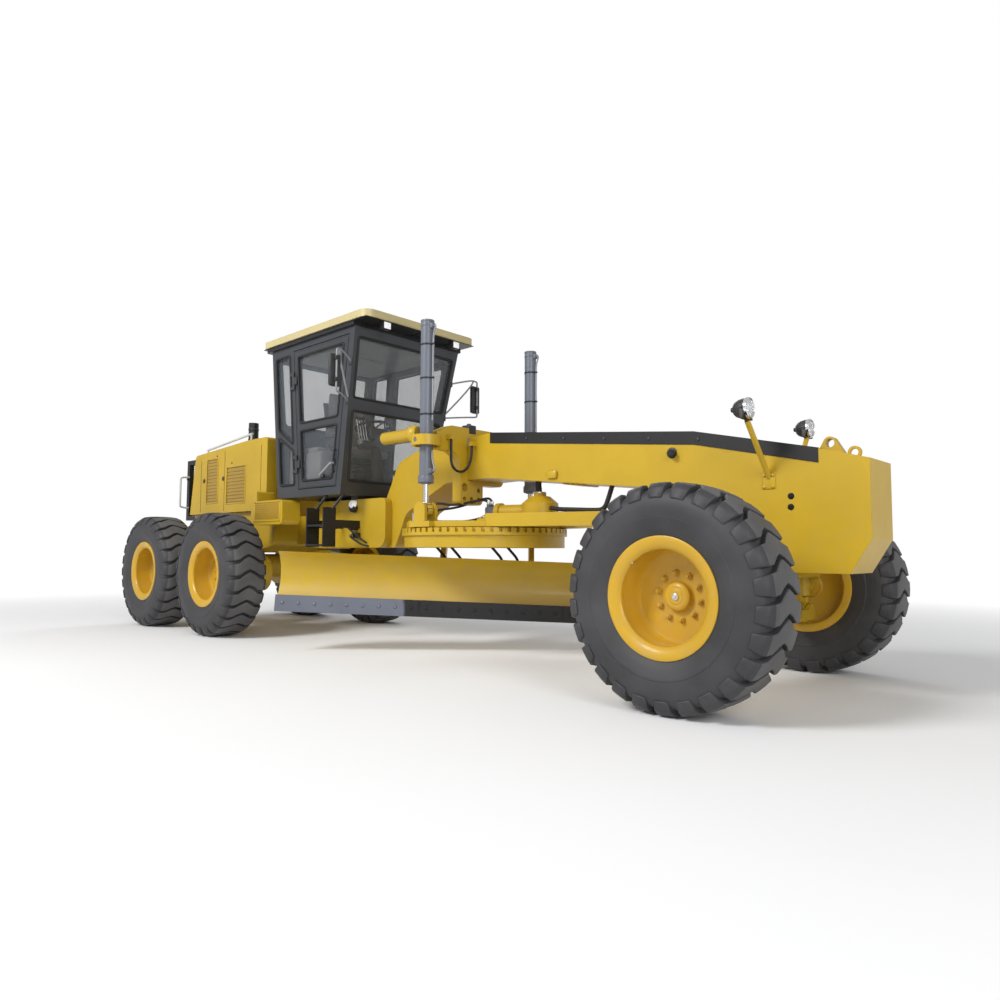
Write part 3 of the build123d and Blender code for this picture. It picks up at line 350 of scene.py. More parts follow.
chrome = bare_metal("chrome", (0.82, 0.82, 0.84), 0.14, depth=0.00005)
zinc = bare_metal("zinc", (0.72, 0.72, 0.74), 0.34, streak=0.3)
edge_steel = bare_metal("edge_steel", (0.22, 0.235, 0.28), 0.42, 0.6, (1.0, 1.0, 14.0), dark_from=0.47)
engine_iron = bare_metal("engine_iron", (0.16, 0.15, 0.15), 0.55, streak=0.5)
mirror_silver = bare_metal("mirror_silver", (0.86, 0.88, 0.9), 0.2, depth=0.0)
print("with metals:", len(bpy.data.materials))

# %% [markdown]
# Glass in a cab is a thin pane with a faint grey tint. The lamps' lenses are clear with a silvery bowl
# behind. Alpha lets the seat show through a pane, which for so thin a sheet looks like glass and renders
# quickly.

# %% Glass finishes
def pane_glass(name, colour, alpha):
    """Thin glass with faint smears."""
    glass = Finish(name)
    smear = glass.grain(4.0, 5.0)
    return glass.surface(
        Base_Color=colour,
        Roughness=(smear * 0.05 + 0.03).clipped(),
        Alpha=(smear * 0.08 + (alpha - 0.04)).clipped(),
        Specular_IOR_Level=0.7,
        Coat_Weight=0.3,
    )


def ribbed_lens(name, colour, glow):
    """Moulded lamp glass with fine upright ribs and a faint glow from its bowl."""
    lens = Finish(name)
    cloud = lens.grain(20.0)
    return lens.surface(
        Base_Color=lens.mix(cloud.between(0.3, 0.8), colour, shade(colour, 0.8)),
        Roughness=(cloud * 0.1 + 0.08).clipped(),
        Normal=lens.bump(lens.waves("Y", 55.0), 0.001),
        Emission_Color=colour,
        Emission_Strength=glow,
        Coat_Weight=0.6,
    )


window_glass = pane_glass("window_glass", (0.16, 0.18, 0.2), 0.26)
lens_glass = pane_glass("lens_glass", (0.85, 0.88, 0.9), 0.3)
lamp_white = ribbed_lens("lamp_white", (0.92, 0.93, 0.95), 0.35)
lamp_red = ribbed_lens("lamp_red", (0.45, 0.02, 0.015), 0.05)
print("with glass:", len(bpy.data.materials))

# %% [markdown]
# Inside the cab there is moulded dark plastic with a leathery grain, and woven cloth on the seat. Cells of
# Voronoi noise look like the pebbles of such a grain, and two crossed waves like threads.

# %% Cab trim finishes
def moulded(name, colour, rough=0.6):
    """Plastic with a pebbled skin."""
    plastic = Finish(name)
    pebble = plastic.node("ShaderNodeTexVoronoi", None, {"Vector": plastic.place, "Scale": 420.0})
    cloud = plastic.grain(6.0)
    return plastic.surface(
        Base_Color=plastic.mix(cloud.between(0.3, 0.8), colour, shade(colour, 1.35)),
        Roughness=(cloud * 0.15 + (rough - 0.07)).clipped(),
        Normal=plastic.bump(pebble, 0.0004),
    )


def woven(name, colour):
    """Cloth of crossed threads, a little uneven in colour."""
    cloth = Finish(name)
    weave = cloth.waves("Y", 160.0) * 0.5 + cloth.waves("Z", 160.0) * 0.5
    cloud = cloth.grain(12.0, 5.0)
    tone = cloth.mix((weave * 0.5 + cloud * 0.5).clipped(), colour, shade(colour, 1.6))
    return cloth.surface(Base_Color=tone, Roughness=0.9, Sheen_Weight=0.3, Normal=cloth.bump(weave, 0.0006))


trim_plastic = moulded("trim_plastic", (0.045, 0.047, 0.05))
desk_grey = moulded("desk_grey", (0.24, 0.23, 0.215))
lamp_shell = moulded("lamp_shell", (0.02, 0.02, 0.021), rough=0.45)
seat_cloth = woven("seat_cloth", (0.22, 0.205, 0.185))
print("finishes:", len(bpy.data.materials))

# %% [markdown]
# Every drawn piece now gets its finish. The pieces are already in place, so only their material changes.
# One table of finishes and names is easier to read, and to change, than a line for each piece.

# %% Finish of each drawn piece
drawn_finish = {
    yellow_paint: (
        "front_frame gooseneck front_axle lean_yoke_left lean_yoke_right knuckle_left knuckle_right lean_bar "
        "tie_rod saddle elbow_tube drawbar circle_plate circle_drive circle tilt_frame tandem_cases "
        "tandem_axle axle_seats rear_frame side_tanks hood"
    ),
    blade_paint: "moldboard",
    # The roof's paler yellow is a painted highlight.
    roof_highlight_yellow: "cab_roof",
    cab_paint: "cab_frame cab_door_left cab_door_right",
    black_paint: "beam_cover ladders rear_guard exhaust roof_lining",
    # Painted shade: the grilles take the darkened yellow.
    grille_shaded_yellow: "hood_grilles",
    window_glass: "cab_glass door_glass_left door_glass_right",
    chrome: "lift_rod_left lift_rod_right side_shift_rod",
    cylinder_paint: "lift_barrels",
    edge_steel: "cutting_edge",
    hose_rubber: "tie_rod_boot",
    engine_iron: "engine",
    rail_white: "handrails",
}
for look_of_piece, names in drawn_finish.items():
    for name in names.split():
        nodes[name].data.materials.clear()
        nodes[name].data.materials.append(look_of_piece)
print("finished:", sum(len(names.split()) for names in drawn_finish.values()), "drawn pieces")

# %% [markdown]
# New pieces start in a bmesh, Blender's workbench for meshes. These few helpers add a rounded block, a
# round bar, a plate cut to an outline or a turned ring to one workbench, and a last one makes it an object.
# Many small parts with one finish share a bench, so the machine stays a short list of pieces.

# %% Workbench helpers
def bevelled(bench, edges, radius, steps):
    """Round these edges of the bench by a radius in metres."""
    bmesh.ops.bevel(
        bench, geom=edges, offset=radius, offset_type="OFFSET", segments=steps, profile=0.5,
        affect="EDGES", material=-1, clamp_overlap=True,
    )


def edges_at(verts):
    """Every edge that ends at one of these vertices, each once."""
    return list(dict.fromkeys(edge for vert in verts for edge in vert.link_edges))


def slab(bench, low, high, radius=0.0, turned_by=None):
    """Block between two corners in metres, turned about its middle if asked."""
    low, high = Vector(low), Vector(high)
    size = Matrix.Diagonal((*(high - low), 1.0))
    move = Matrix.Translation((low + high) / 2)
    made = bmesh.ops.create_cube(bench, size=1.0, matrix=move @ (turned_by or Matrix.Identity(4)) @ size)
    if radius:
        bevelled(bench, edges_at(made["verts"]), radius, 2)


def pole(bench, start, end, radius, steps=24, end_radius=None, soften=0.0):
    """Round bar or cone from start to end, with its two rims softened if asked."""
    start, end = Vector(start), Vector(end)
    run = end - start
    stand = Matrix.Translation((start + end) / 2) @ run.to_track_quat("Z", "Y").to_matrix().to_4x4()
    made = bmesh.ops.create_cone(
        bench, cap_ends=True, cap_tris=False, segments=steps, radius1=radius,
        radius2=radius if end_radius is None else end_radius, depth=run.length, matrix=stand,
    )
    if soften:
        edges = edges_at(made["verts"])
        rims = [edge for edge in edges if abs((edge.verts[0].co - edge.verts[1].co).dot(run)) < 1e-9]
        bevelled(bench, rims, soften, 2)


def cut_plate(bench, corners, thickness):
    """Plate with an outline of points, as thick as the vector thickness."""
    face = bench.faces.new([bench.verts.new(Vector(p)) for p in corners])
    made = bmesh.ops.extrude_face_region(bench, geom=[face])
    verts = [v for v in made["geom"] if isinstance(v, bmesh.types.BMVert)]
    bmesh.ops.translate(bench, verts=verts, vec=Vector(thickness))


def turned_ring(bench, profile, steps, close=True):
    """Turn a profile of (y, radius) in mm about the Y axis, as on a lathe."""
    verts = [bench.verts.new((r / 1000, y / 1000, 0)) for y, r in profile]
    pairs = list(zip(verts, verts[1:])) + ([(verts[-1], verts[0])] if close else [])
    edges = [bench.edges.new(pair) for pair in pairs]
    bmesh.ops.spin(
        bench, geom=verts + edges, cent=(0, 0, 0), axis=(0, 1, 0), angle=2 * pi, steps=steps, use_merge=True,
    )


def put(name, data, look_of_piece, body):
    """Make a mesh or curve an object that rides on a body, or on no body if body is None."""
    data.materials.clear()
    data.materials.append(look_of_piece)
    piece = add_object(name, data)
    if body:
        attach(piece, body)
    return piece


def off_bench(name, bench, look_of_piece, body, sharp=32.0, place=None):
    """Clean the bench's mesh and put it on the machine; edges sharper than that many degrees stay crisp."""
    bmesh.ops.remove_doubles(bench, verts=bench.verts, dist=1e-6)
    bmesh.ops.recalc_face_normals(bench, faces=bench.faces)
    if place is not None:
        bmesh.ops.transform(bench, matrix=place, verts=bench.verts)
    mesh = bpy.data.meshes.new(name)
    bench.to_mesh(mesh)
    bench.free()
    mesh.shade_smooth()
    mesh.set_sharp_from_angle(angle=radians(sharp))
    return put(name, mesh, look_of_piece, body)


print("workbench ready")

# %% [markdown]
# Bolts come in rings and every cover has some. A hexagon head is a bar of six sides with softened rims; its
# washer is a thin round one.

# %% Bolts
def hex_bolt(bench, place, axis, size):
    """Hexagon head on its washer; size is across the head in metres."""
    place, axis = Vector(place), Vector(axis).normalized()
    pole(bench, place - axis * size * 0.1, place + axis * size * 0.14, size * 0.68, 16)
    pole(bench, place, place + axis * size * 0.55, size * 0.55, 6, soften=size * 0.04)


def ring_of(count, radius, first=0.0):
    """Points spread evenly round a circle; first is how many steps round the first one is."""
    angles = [2 * pi * (step + first) / count for step in range(count)]
    return [(radius * cos(angle), radius * sin(angle)) for angle in angles]


print("bolts ready")

# %% [markdown]
# Hoses, pipes, seals and thin rails are smooth lines with a round section. A NURBS spline through a few
# drawing points bends as rubber and bent tube do, which straight runs with rounded corners don't. Its order
# is set after its points, because Blender lowers it for a spline that has none yet.

# %% Smooth lines
def line_curve(name, routes, thickness, closed=False, round_steps=3, smooth_steps=6):
    """Smooth curves through drawing points; thickness is their diameter in mm."""
    data = bpy.data.curves.new(name, "CURVE")
    data.dimensions = "3D"
    data.bevel_depth = thickness / 2000
    data.bevel_resolution = round_steps
    data.use_fill_caps = True
    for route in routes:
        spline = data.splines.new("NURBS")
        spline.points.add(len(route) - 1)
        for point, place in zip(spline.points, route):
            point.co = (*at(*place), 1.0)
        spline.order_u = 3
        spline.use_endpoint_u = not closed
        spline.use_cyclic_u = closed
        spline.resolution_u = smooth_steps
    return data


print("smooth lines ready")

# %% [markdown]
# The one free hose of the drawing hangs from the saddle down to the beam's side in a U, and it is as long
# as the real hose.

# %% Saddle hose
hose_route = (
    (-2568, -470, 1925), (-2568, -470, 1810), (-2564, -474, 1700), (-2558, -415, 1640),
    (-2548, -330, 1640), (-2538, -272, 1700), (-2515, -262, 1800), (-2515, -262, 1880),
)
hose_line = line_curve("saddle_hose_line", (hose_route,), 24, round_steps=5, smooth_steps=12)
saddle_hose = put("saddle_hose_bent", hose_line, hose_rubber, "front_frame")
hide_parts("saddle_hose")
at(-2568, -470, 1925)
print("saddle hose:", len(hose_route), "points")

# %% [markdown]
# Grader tyres carry broad bars that run across the tread as chevrons and fall away down the shoulders. One
# bar starts as a flat grid: its length becomes the way across the tyre, its width the way round, and then
# it is wrapped onto the carcass. That keeps its chevron, its width and its fall in four short lists.

# %% Tyre bar
BARS = 26
PITCH = 2 * pi / BARS
STATIONS = 5  # from the tread's middle to the foot of the shoulder
bar_top = ((0, 670), (55, 669), (110, 667), (165, 661), (201, 634), (221, 574))  # y, radius in mm
bar_foot = ((0, 632), (55, 632), (110, 630), (158, 622), (184, 604), (212, 570))
bar_lead = (0.46, 0.30, 0.06, 0.0, 0.0, 0.0)  # how far it runs ahead, in pitches
bar_width = (0.40, 0.385, 0.37, 0.36, 0.33, 0.29)  # half width in pitches
FOOT_SPREAD = 1.14  # how much wider the foot is


def wrapped(co, start):
    """Place a point of the flat bar on the tyre: x across, y round, z 1 on top and 0 at the foot."""
    on_top = co.z > 0.5
    station = min(STATIONS, round(abs(co.x) * STATIONS))
    y, radius = (bar_top if on_top else bar_foot)[station]
    spread = bar_width[station] * (1.0 if on_top else FOOT_SPREAD)
    angle = start + PITCH * (bar_lead[station] + co.y * spread)
    return Vector((radius * cos(angle), y if co.x > 0 else -y, radius * sin(angle))) / 1000


def add_bar(bench, start):
    """One bar of the tread, from the angle start on."""
    made = bmesh.ops.create_grid(bench, x_segments=2 * STATIONS, y_segments=2, size=1.0)
    faces = list(dict.fromkeys(face for vert in made["verts"] for face in vert.link_faces))
    foot = bmesh.ops.extrude_face_region(bench, geom=faces)
    foot_verts = [v for v in foot["geom"] if isinstance(v, bmesh.types.BMVert)]
    for vert in made["verts"]:
        vert.co.z = 1.0
    for vert in made["verts"] + foot_verts:
        vert.co = wrapped(vert.co, start)


print("bars on a tyre:", BARS)

# %% [markdown]
# The carcass is a turned ring: beads at the rim, a bulging wall with a raised line round it, and the bottom
# of the tread's grooves. Only one wall is listed, and the other is its mirror image.

# %% Tyre carcass
wall = (  # y, radius
    (173, 319), (178, 340), (186, 358), (200, 384), (211, 414), (217, 440), (221, 452), (222, 462),
    (219, 466), (221, 500), (220, 532), (215, 562), (205, 590), (188, 612), (160, 626), (110, 633), (40, 636),
)
carcass = wall + tuple((-y, r) for y, r in reversed(wall))
CRISP = 0.6  # radians; a bar's edges that turn by more are worn round
TREAD_TOP = 0.652  # metres from the axle, past which a bar's face is paler, partly worn and partly painted light


def make_tyre(name, centre, turned_by):
    """A tyre whose tread starts at the angle turned_by."""
    bench = bmesh.new()
    for index in range(BARS):
        add_bar(bench, index * PITCH)
    bmesh.ops.recalc_face_normals(bench, faces=bench.faces)
    bevelled(bench, [e for e in bench.edges if e.is_manifold and e.calc_face_angle(0) > CRISP], 0.005, 1)
    turned_ring(bench, carcass, 104)
    place = Matrix.Translation(centre) @ Matrix.Rotation(turned_by, 4, "Y")
    tyre = off_bench(f"tyre_{name}_dressed", bench, tyre_rubber, f"wheel_{name}", 38.0, place)
    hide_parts(f"tyre_{name}")
    # Faces out past TREAD_TOP get the paler rubber, partly wear and partly painted light.
    tyre.data.materials.append(worn_and_lit_tread_rubber)
    for face in tyre.data.polygons:
        from_axle = hypot(face.center.x - centre[0], face.center.z - centre[2])
        face.material_index = int(from_axle > TREAD_TOP)


print("carcass:", len(carcass), "points")

# %% [markdown]
# The rims are deep dishes. A bright rolled lip stands outside, the disc sits far back, and ten studs hold
# it round a hub with a small silver centre. The dish is turned like the carcass, and a right wheel is a
# left one turned half round.

# %% Rim profile
rim_section = (  # y, radius; outboard is +y
    (13, 0), (13, 58), (9, 74), (0, 84), (-26, 88), (-35, 96), (-35, 246), (-30, 266), (-14, 279), (10, 283),
    (118, 284), (140, 279), (152, 276), (164, 277), (176, 286), (186, 304), (193, 326), (195, 344), (191, 355),
    (182, 356), (177, 348), (175, 318), (-175, 318), (-177, 348), (-184, 356), (-192, 352), (-194, 330),
    (-188, 300), (-176, 290), (-62, 290), (-62, 100), (-72, 88), (-115, 86), (-115, 0),
)
hub_section = ((16, 0), (16, 40), (12.5, 46), (8, 46), (8, 0))


def make_rim(name, centre, side):
    """A rim with its studs and hub, and the silver hub cap and valve on it."""
    bench = bmesh.new()
    turned_ring(bench, rim_section, 72)
    for x, z in ring_of(10, 0.138, 0.3):
        pole(bench, (x, -0.036, z), (x, -0.029, z), 0.021, 20, soften=0.0015)
        pole(bench, (x, -0.030, z), (x, -0.012, z), 0.0165, 6, soften=0.0015)
        pole(bench, (x, -0.013, z), (x, -0.002, z), 0.009, 12, soften=0.001)
    turned_ring(bench, hub_section, 40, close=False)
    place = Matrix.Translation(centre) @ Matrix.Rotation(0 if side > 0 else pi, 4, "Z")
    rim = off_bench(f"rim_{name}_dressed", bench, rim_paint, f"wheel_{name}", 30.0, place)
    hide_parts(f"rim_{name}")
    bench = bmesh.new()
    pole(bench, (0, 0.014, 0), (0, 0.024, 0), 0.021, 24, soften=0.003)
    pole(bench, (0, 0.022, 0), (0, 0.033, 0), 0.011, 6, soften=0.001)
    pole(bench, (0.19, 0.16, 0.2), (0.185, 0.185, 0.195), 0.005, 10, soften=0.001)
    off_bench(f"rim_{name}_hub_cap", bench, zinc, f"wheel_{name}", 30.0, place)


print("rim:", len(rim_section), "points")

# %% [markdown]
# Six wheels stand on the ground. Each is turned by its own small angle, as wheels are that have rolled,
# because six treads in step would look like copies.

# %% Wheels
wheel_places = (  # name, x, side, turn
    ("front_left", 0, 1, 0.02), ("front_right", 0, -1, 0.10), ("mid_left", MID_AXLE, 1, 0.05),
    ("mid_right", MID_AXLE, -1, 0.16), ("rear_left", REAR_AXLE, 1, 0.13), ("rear_right", REAR_AXLE, -1, 0.21),
)
for name, x, side, start in wheel_places:
    centre = at(x, side * HALF_TRACK, AXLE_HEIGHT)
    make_tyre(name, centre, start)
    make_rim(name, centre, side)
print("wheels:", len(wheel_places))

# %% [markdown]
# Pipes, seals and rails become plain meshes, and several routes with one look make one piece. A
# free hose stays a curve, with a crimped fitting at its far end.

# %% Line pieces
def line_mesh(data):
    """The mesh that a curve draws."""
    drawn = bpy.data.objects.new(f"{data.name}_line", data)
    mesh = bpy.data.meshes.new_from_object(drawn)
    bpy.data.objects.remove(drawn)
    return mesh


def lines(name, routes, thickness, look_of_piece, body, closed=False):
    """Smooth tubes along routes of drawing points; thickness is their diameter in mm."""
    mesh = line_mesh(line_curve(name, routes, thickness, closed))
    mesh.shade_smooth()
    mesh.set_sharp_from_angle(angle=radians(40))
    return put(name, mesh, look_of_piece, body)


def centre_line(route):
    """Points along the middle of a hose, as its curve gives them."""
    return [point.co[:] for point in line_mesh(line_curve("centre", (route,), 0)).vertices]


def free_hose(name, route, thickness, body):
    """One hose with a crimped fitting at its far end."""
    hose = put(name, line_curve(name, (route,), thickness), hose_rubber, body)
    last, inner = at(*route[-1]), at(*route[-2])
    crimp = last + (inner - last).normalized() * 0.03
    ring = bmesh.new()
    pole(ring, last, crimp, thickness / 1000 * 0.72, 20, soften=0.001)
    fitting = off_bench(f"{name}_fitting", ring, zinc, body)
    at(*route[0])


def framed(corners, reach):
    """Closed route that runs straight between corners and turns within reach of each."""
    corners = [Vector(c) for c in corners]
    route = []
    for before, here, after in zip(corners[-1:] + corners[:-1], corners, corners[1:] + corners[:1]):
        route.append(here + (before - here).normalized() * reach)
        route.append(here)
        route.append(here + (after - here).normalized() * reach)
    return route


print("line pieces ready")

# %% [markdown]
# The cab's walls lean outwards and its front leans ahead. Shares of the walls' height give every window the
# same places as on the drawing, so three small functions of a height are all that the trim needs to lie on
# the walls.

# %% Cab walls
CAB_SILL, CAB_TOP = 1560.0, 3145.0
CAB_FRONT_LOW, CAB_FRONT_HIGH = -4047.0, -3705.0
CAB_REAR, DOOR_REAR = -5250.0, -4810.0
HALF_WIDTH, FLARE = 600, 102


def cab_z(share):
    """Height at a share of the walls' height."""
    return CAB_SILL + share * (CAB_TOP - CAB_SILL)


def cab_front(z):
    """Where the leaning front is at a height."""
    return CAB_FRONT_LOW + (z - CAB_SILL) / (CAB_TOP - CAB_SILL) * (CAB_FRONT_HIGH - CAB_FRONT_LOW)


def cab_side(z):
    """How far out the leaning side is at a height."""
    return HALF_WIDTH + (z - CAB_SILL) / (CAB_TOP - CAB_SILL) * FLARE


def side_seal(corners, side, reach, inset=0):
    """Route round a pane in a side wall; inset is how far inside the wall it lies."""
    return framed([(x, side * (cab_side(z) - inset), z) for x, z in corners], reach)


print("cab walls from", CAB_SILL, "to", CAB_TOP)

# %% [markdown]
# A black rubber seal runs round each window: two quarter panes on each side, two in front and one behind. A
# rebate cut into the wall would hardly show, so each seal is a thin closed line half sunk in the wall, and
# all of them are one piece.

# %% Window seals
glass_low, glass_high = CAB_SILL + 80, CAB_TOP - 100
quarter_rear, quarter_front = CAB_REAR + 75, -4895
quarters = (
    (
        (quarter_rear, cab_z(0.435)), (quarter_front, cab_z(0.328)), (quarter_front, glass_high),
        (quarter_rear, glass_high),
    ),
    (
        (quarter_rear, glass_low), (quarter_front, glass_low), (quarter_front, cab_z(0.284)),
        (quarter_rear, cab_z(0.391)),
    ),
)
fronts = (
    ((-600, cab_z(0.568)), (600, cab_z(0.568)), (640, glass_high), (-640, glass_high)),
    ((-520, glass_low), (520, glass_low), (590, cab_z(0.486)), (-590, cab_z(0.486))),
)
rear = ((-540, cab_z(0.486)), (540, cab_z(0.486)), (600, glass_high), (-600, glass_high))
seal_routes = [side_seal(pane, side, 60) for pane in quarters for side in (1, -1)]
seal_routes += [framed([(cab_front(z) + 1, y, z) for y, z in pane], 55) for pane in fronts]
seal_routes.append(framed([(CAB_REAR - 1, y, z) for y, z in rear], 55))
lines("window_seals", seal_routes, 26, seal_rubber, "front_frame", closed=True)
print("window seals:", len(seal_routes))

# %% [markdown]
# Each door has two panes with seals, a folded lip round its edge, a bent grab handle and a lock. All of it
# rides on the door and swings with it, so nothing of it is part of the frame's seals.

# %% Door trim
def door_pane(z_low, z_high):
    """Corners of a pane, whose front edge follows the leaning post."""
    rear_x = DOOR_REAR + 70
    front_low, front_high = cab_front(z_low) - 165, cab_front(z_high) - 165
    return ((rear_x, z_low), (front_low, z_low), (front_high, z_high), (rear_x, z_high))


low, high = CAB_SILL + 42, CAB_TOP - 82
door_edge = (
    (DOOR_REAR + 12, low), (cab_front(low) - 107, low), (cab_front(high) - 107, high), (DOOR_REAR + 12, high),
)
grip_route = (
    (-4352, 612, 1700), (-4352, 652, 1702), (-4335, 655, 1712), (-4240, 657, 1765), (-4160, 658, 1812),
    (-4146, 656, 1820), (-4146, 618, 1820),
)
for name, side in SIDES:
    panes = (door_pane(cab_z(0.461), CAB_TOP - 140), door_pane(CAB_SILL + 110, cab_z(0.41)))
    routes = [side_seal(pane, side, 60) for pane in panes]
    lines(f"door_seals_{name}", routes, 24, seal_rubber, f"door_{name}", closed=True)
    lip = side_seal(door_edge, side, 30, inset=2)
    lines(f"door_lip_{name}", [lip], 12, cab_paint, f"door_{name}", closed=True)
    grip = [(x, side * y, z) for x, y, z in grip_route]
    lines(f"door_grip_{name}", [grip], 24, arm_grey, f"door_{name}")
    bench = bmesh.new()
    slab(bench, at(-4180, side * 616 - 8, 1800), at(-4112, side * 616 + 8, 1842), 0.006)
    slab(bench, at(-4386, side * 610 - 8, 1682), at(-4326, side * 610 + 8, 1722), 0.006)
    pole(bench, at(-4160, side * 606, 1740), at(-4160, side * 628, 1740), 0.017, 20, soften=0.003)
    off_bench(f"door_lock_{name}", bench, seal_rubber, f"door_{name}")
print("doors trimmed: 2")

# %% [markdown]
# Below the roof's front edge hang two square work lamps, and a ribbed strip ends the lining. They are small
# and seen from below, so softened blocks with a few fins are enough.

# %% Work lamps
LAMP_Y = 470
bench = bmesh.new()
slab(bench, at(-5385, -735, 3184), at(-3492, 735, 3191), 0.003)
for rib in (-480, 0, 480):
    slab(bench, at(-3690, rib - 8, 3176), at(-3500, rib + 8, 3186), 0.002)
off_bench("roof_soffit", bench, black_paint, "front_frame")
for name, side in SIDES:
    y = side * LAMP_Y
    bench = bmesh.new()
    slab(bench, at(-3560, y - 48, 3108), at(-3497, y + 48, 3186), 0.008)
    slab(bench, at(-3570, y - 20, 3150), at(-3540, y + 20, 3196), 0.004)
    for fin in range(5):
        z = 3118 + fin * 14
        slab(bench, at(-3572, y - 40, z), at(-3556, y + 40, z + 5), 0.001)
    off_bench(f"work_lamp_{name}", bench, lamp_shell, "front_frame")
    bench = bmesh.new()
    slab(bench, at(-3500, y - 40, 3115), at(-3490, y + 40, 3179), 0.004)
    off_bench(f"work_lamp_glass_{name}", bench, lamp_white, "front_frame")
print("work lamps: 2")

# %% [markdown]
# Each headlamp is a deep bowl with a bright rim, a clear lens and a silver reflector with its bulb. All
# four are turned about one axis, so they are drawn lying on it and then turned to face ahead.

# %% Headlamps
HEADLAMP_Y = 518
shell_section = (
    (-86, 0), (-86, 24), (-80, 38), (-66, 51), (-46, 60), (-20, 65), (8, 67), (8, 62), (-22, 60), (-46, 55),
    (-62, 46), (-74, 30), (-78, 0),
)
rim_ring = ((2, 66), (2, 68), (14, 70), (24, 67), (27, 62), (22, 59), (10, 60), (2, 62))
lens_section = ((20, 60), (25, 45), (30, 24), (32, 0), (29, 0), (27, 24), (22, 44), (17, 60))
bowl_section = (
    (8, 59), (-14, 50), (-34, 34), (-44, 16), (-46, 0), (-48, 0), (-46, 18), (-36, 37), (-15, 53), (6, 60),
)
headlamp_parts = (  # name, section, steps, finish, slot, pole at its back or its bulb
    ("headlamp", shell_section, 48, lamp_shell, "lamp_body", (-0.104, -0.084, 0.016, 20)),
    ("headlamp_rim", rim_ring, 48, chrome, "chrome_rod", None),
    ("headlamp_lens", lens_section, 40, lens_glass, "cab_glass", None),
    ("headlamp_bowl", bowl_section, 40, mirror_silver, "chrome_rod", (-0.046, -0.014, 0.011, 16)),
)
for name, side in SIDES:
    facing = Matrix.Translation(at(198, side * HEADLAMP_Y, 1840)) @ Matrix.Rotation(-pi / 2, 4, "Z")
    for part, section, steps, look_of_piece, slot, stub in headlamp_parts:
        bench = bmesh.new()
        turned_ring(bench, section, steps)
        if stub:
            start, end, radius, stub_steps = stub
            pole(bench, (0, start, 0), (0, end, 0), radius, stub_steps, soften=0.004)
        off_bench(f"{part}_{name}", bench, look_of_piece, "front_frame", place=facing)
print("headlamps: 2")

# %% [markdown]
# A yellow post leans out from the nose to each headlamp and ends in a fork that holds it by two bolts. Post
# and fork have different finishes, so they are two pieces, each from one bench.

# %% Headlamp posts
def corners_of(x_low, x_high, z_low, z_high):
    """Four corners of an upright rectangle."""
    return ((x_low, z_low), (x_high, z_low), (x_high, z_high), (x_low, z_high))


for name, side in SIDES:
    y = side * HEADLAMP_Y
    bench = bmesh.new()
    pole(bench, at(205, side * 195, 1400), at(191, side * 502, 1764), 0.018, 24)
    slab(bench, at(160, side * 215 - 8, 1345), at(250, side * 215 + 8, 1450), 0.005)
    for x, z in corners_of(175, 235, 1360, 1435):
        hex_bolt(bench, at(x, side * 222, z), (0, side, 0), 0.016)
    off_bench(f"headlamp_post_{name}", bench, yellow_paint, "front_frame")
    bench = bmesh.new()
    pole(bench, at(190, side * 503, 1758), at(190, y, 1786), 0.013, 16, soften=0.002)
    slab(bench, at(172, y - 34, 1770), at(208, y + 34, 1780), 0.003)
    for arm in (-70, 66):
        slab(bench, at(176, y + arm, 1772), at(204, y + arm + 5, 1846), 0.002)
        pole(bench, at(190, y + arm - 6, 1840), at(190, y + arm + 11, 1840), 0.010, 6, soften=0.001)
    slab(bench, at(176, y - 70, 1770), at(204, y + 71, 1776), 0.002)
    fork = off_bench(f"headlamp_fork_{name}", bench, lamp_shell, "front_frame")
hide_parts("headlamps")
print("headlamp posts: 2")

# %% [markdown]
# The mirrors hang on bent grey tubes ahead of the front posts, with their glass turned back to the seat.
# The tubes are smooth lines from foot to foot, and each foot is bolted to the cab's post.

# %% Mirrors
MIRROR_X, MIRROR_Y = -3650, 950
upper_z, lower_z = cab_z(0.782), cab_z(0.5426)
for name, side in SIDES:
    x, y = MIRROR_X, side * MIRROR_Y
    upper_foot = (cab_front(upper_z) - 20, side * (cab_side(upper_z) - 5), upper_z)
    lower_foot = (cab_front(lower_z) - 20, side * (cab_side(lower_z) - 5), lower_z)
    routes = (
        (
            upper_foot, (x - 30, y - side * 90, upper_z + 56), (x - 6, y - side * 16, upper_z + 54),
            (x, y, upper_z + 40), (x, y, upper_z), (x, y, lower_z + 50), (x, y, lower_z + 30),
            (x - 10, y - side * 20, lower_z + 18), (x - 60, y - side * 120, lower_z + 14), lower_foot,
        ),
        (
            (lower_foot[0] + 8, lower_foot[1], lower_z + 30), (x - 40, y - side * 60, upper_z - 30),
            (x - 20, y - side * 40, upper_z + 48),
        ),
    )
    lines(f"mirror_arms_{name}", routes, 19, arm_grey, "front_frame")
    bench = bmesh.new()
    slab(bench, at(x - 58, y - 64, lower_z + 66), at(x - 12, y + 64, upper_z + 4), 0.022)
    for z in (lower_z + 110, upper_z - 60):
        slab(bench, at(x - 16, y - 22, z), at(x + 15, y + 22, z + 40), 0.005)
    shell = off_bench(f"mirror_{name}", bench, lamp_shell, "front_frame")
    bench = bmesh.new()
    slab(bench, at(x - 61, y - 52, lower_z + 80), at(x - 57, y + 52, upper_z - 10), 0.002)
    off_bench(f"mirror_glass_{name}", bench, mirror_silver, "front_frame")
    bench = bmesh.new()
    for z in (upper_z, lower_z):
        foot_x, foot_y = cab_front(z), side * cab_side(z)
        slab(bench, at(foot_x - 46, foot_y - 10, z - 34), at(foot_x + 2, foot_y + 10, z + 34), 0.004)
        for dz in (-22, 22):
            hex_bolt(bench, at(foot_x - 34, side * (cab_side(z) + 9), z + dz), (0, side, 0), 0.014)
    off_bench(f"mirror_feet_{name}", bench, cab_paint, "front_frame")
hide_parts("mirrors")
print("mirrors: 2")

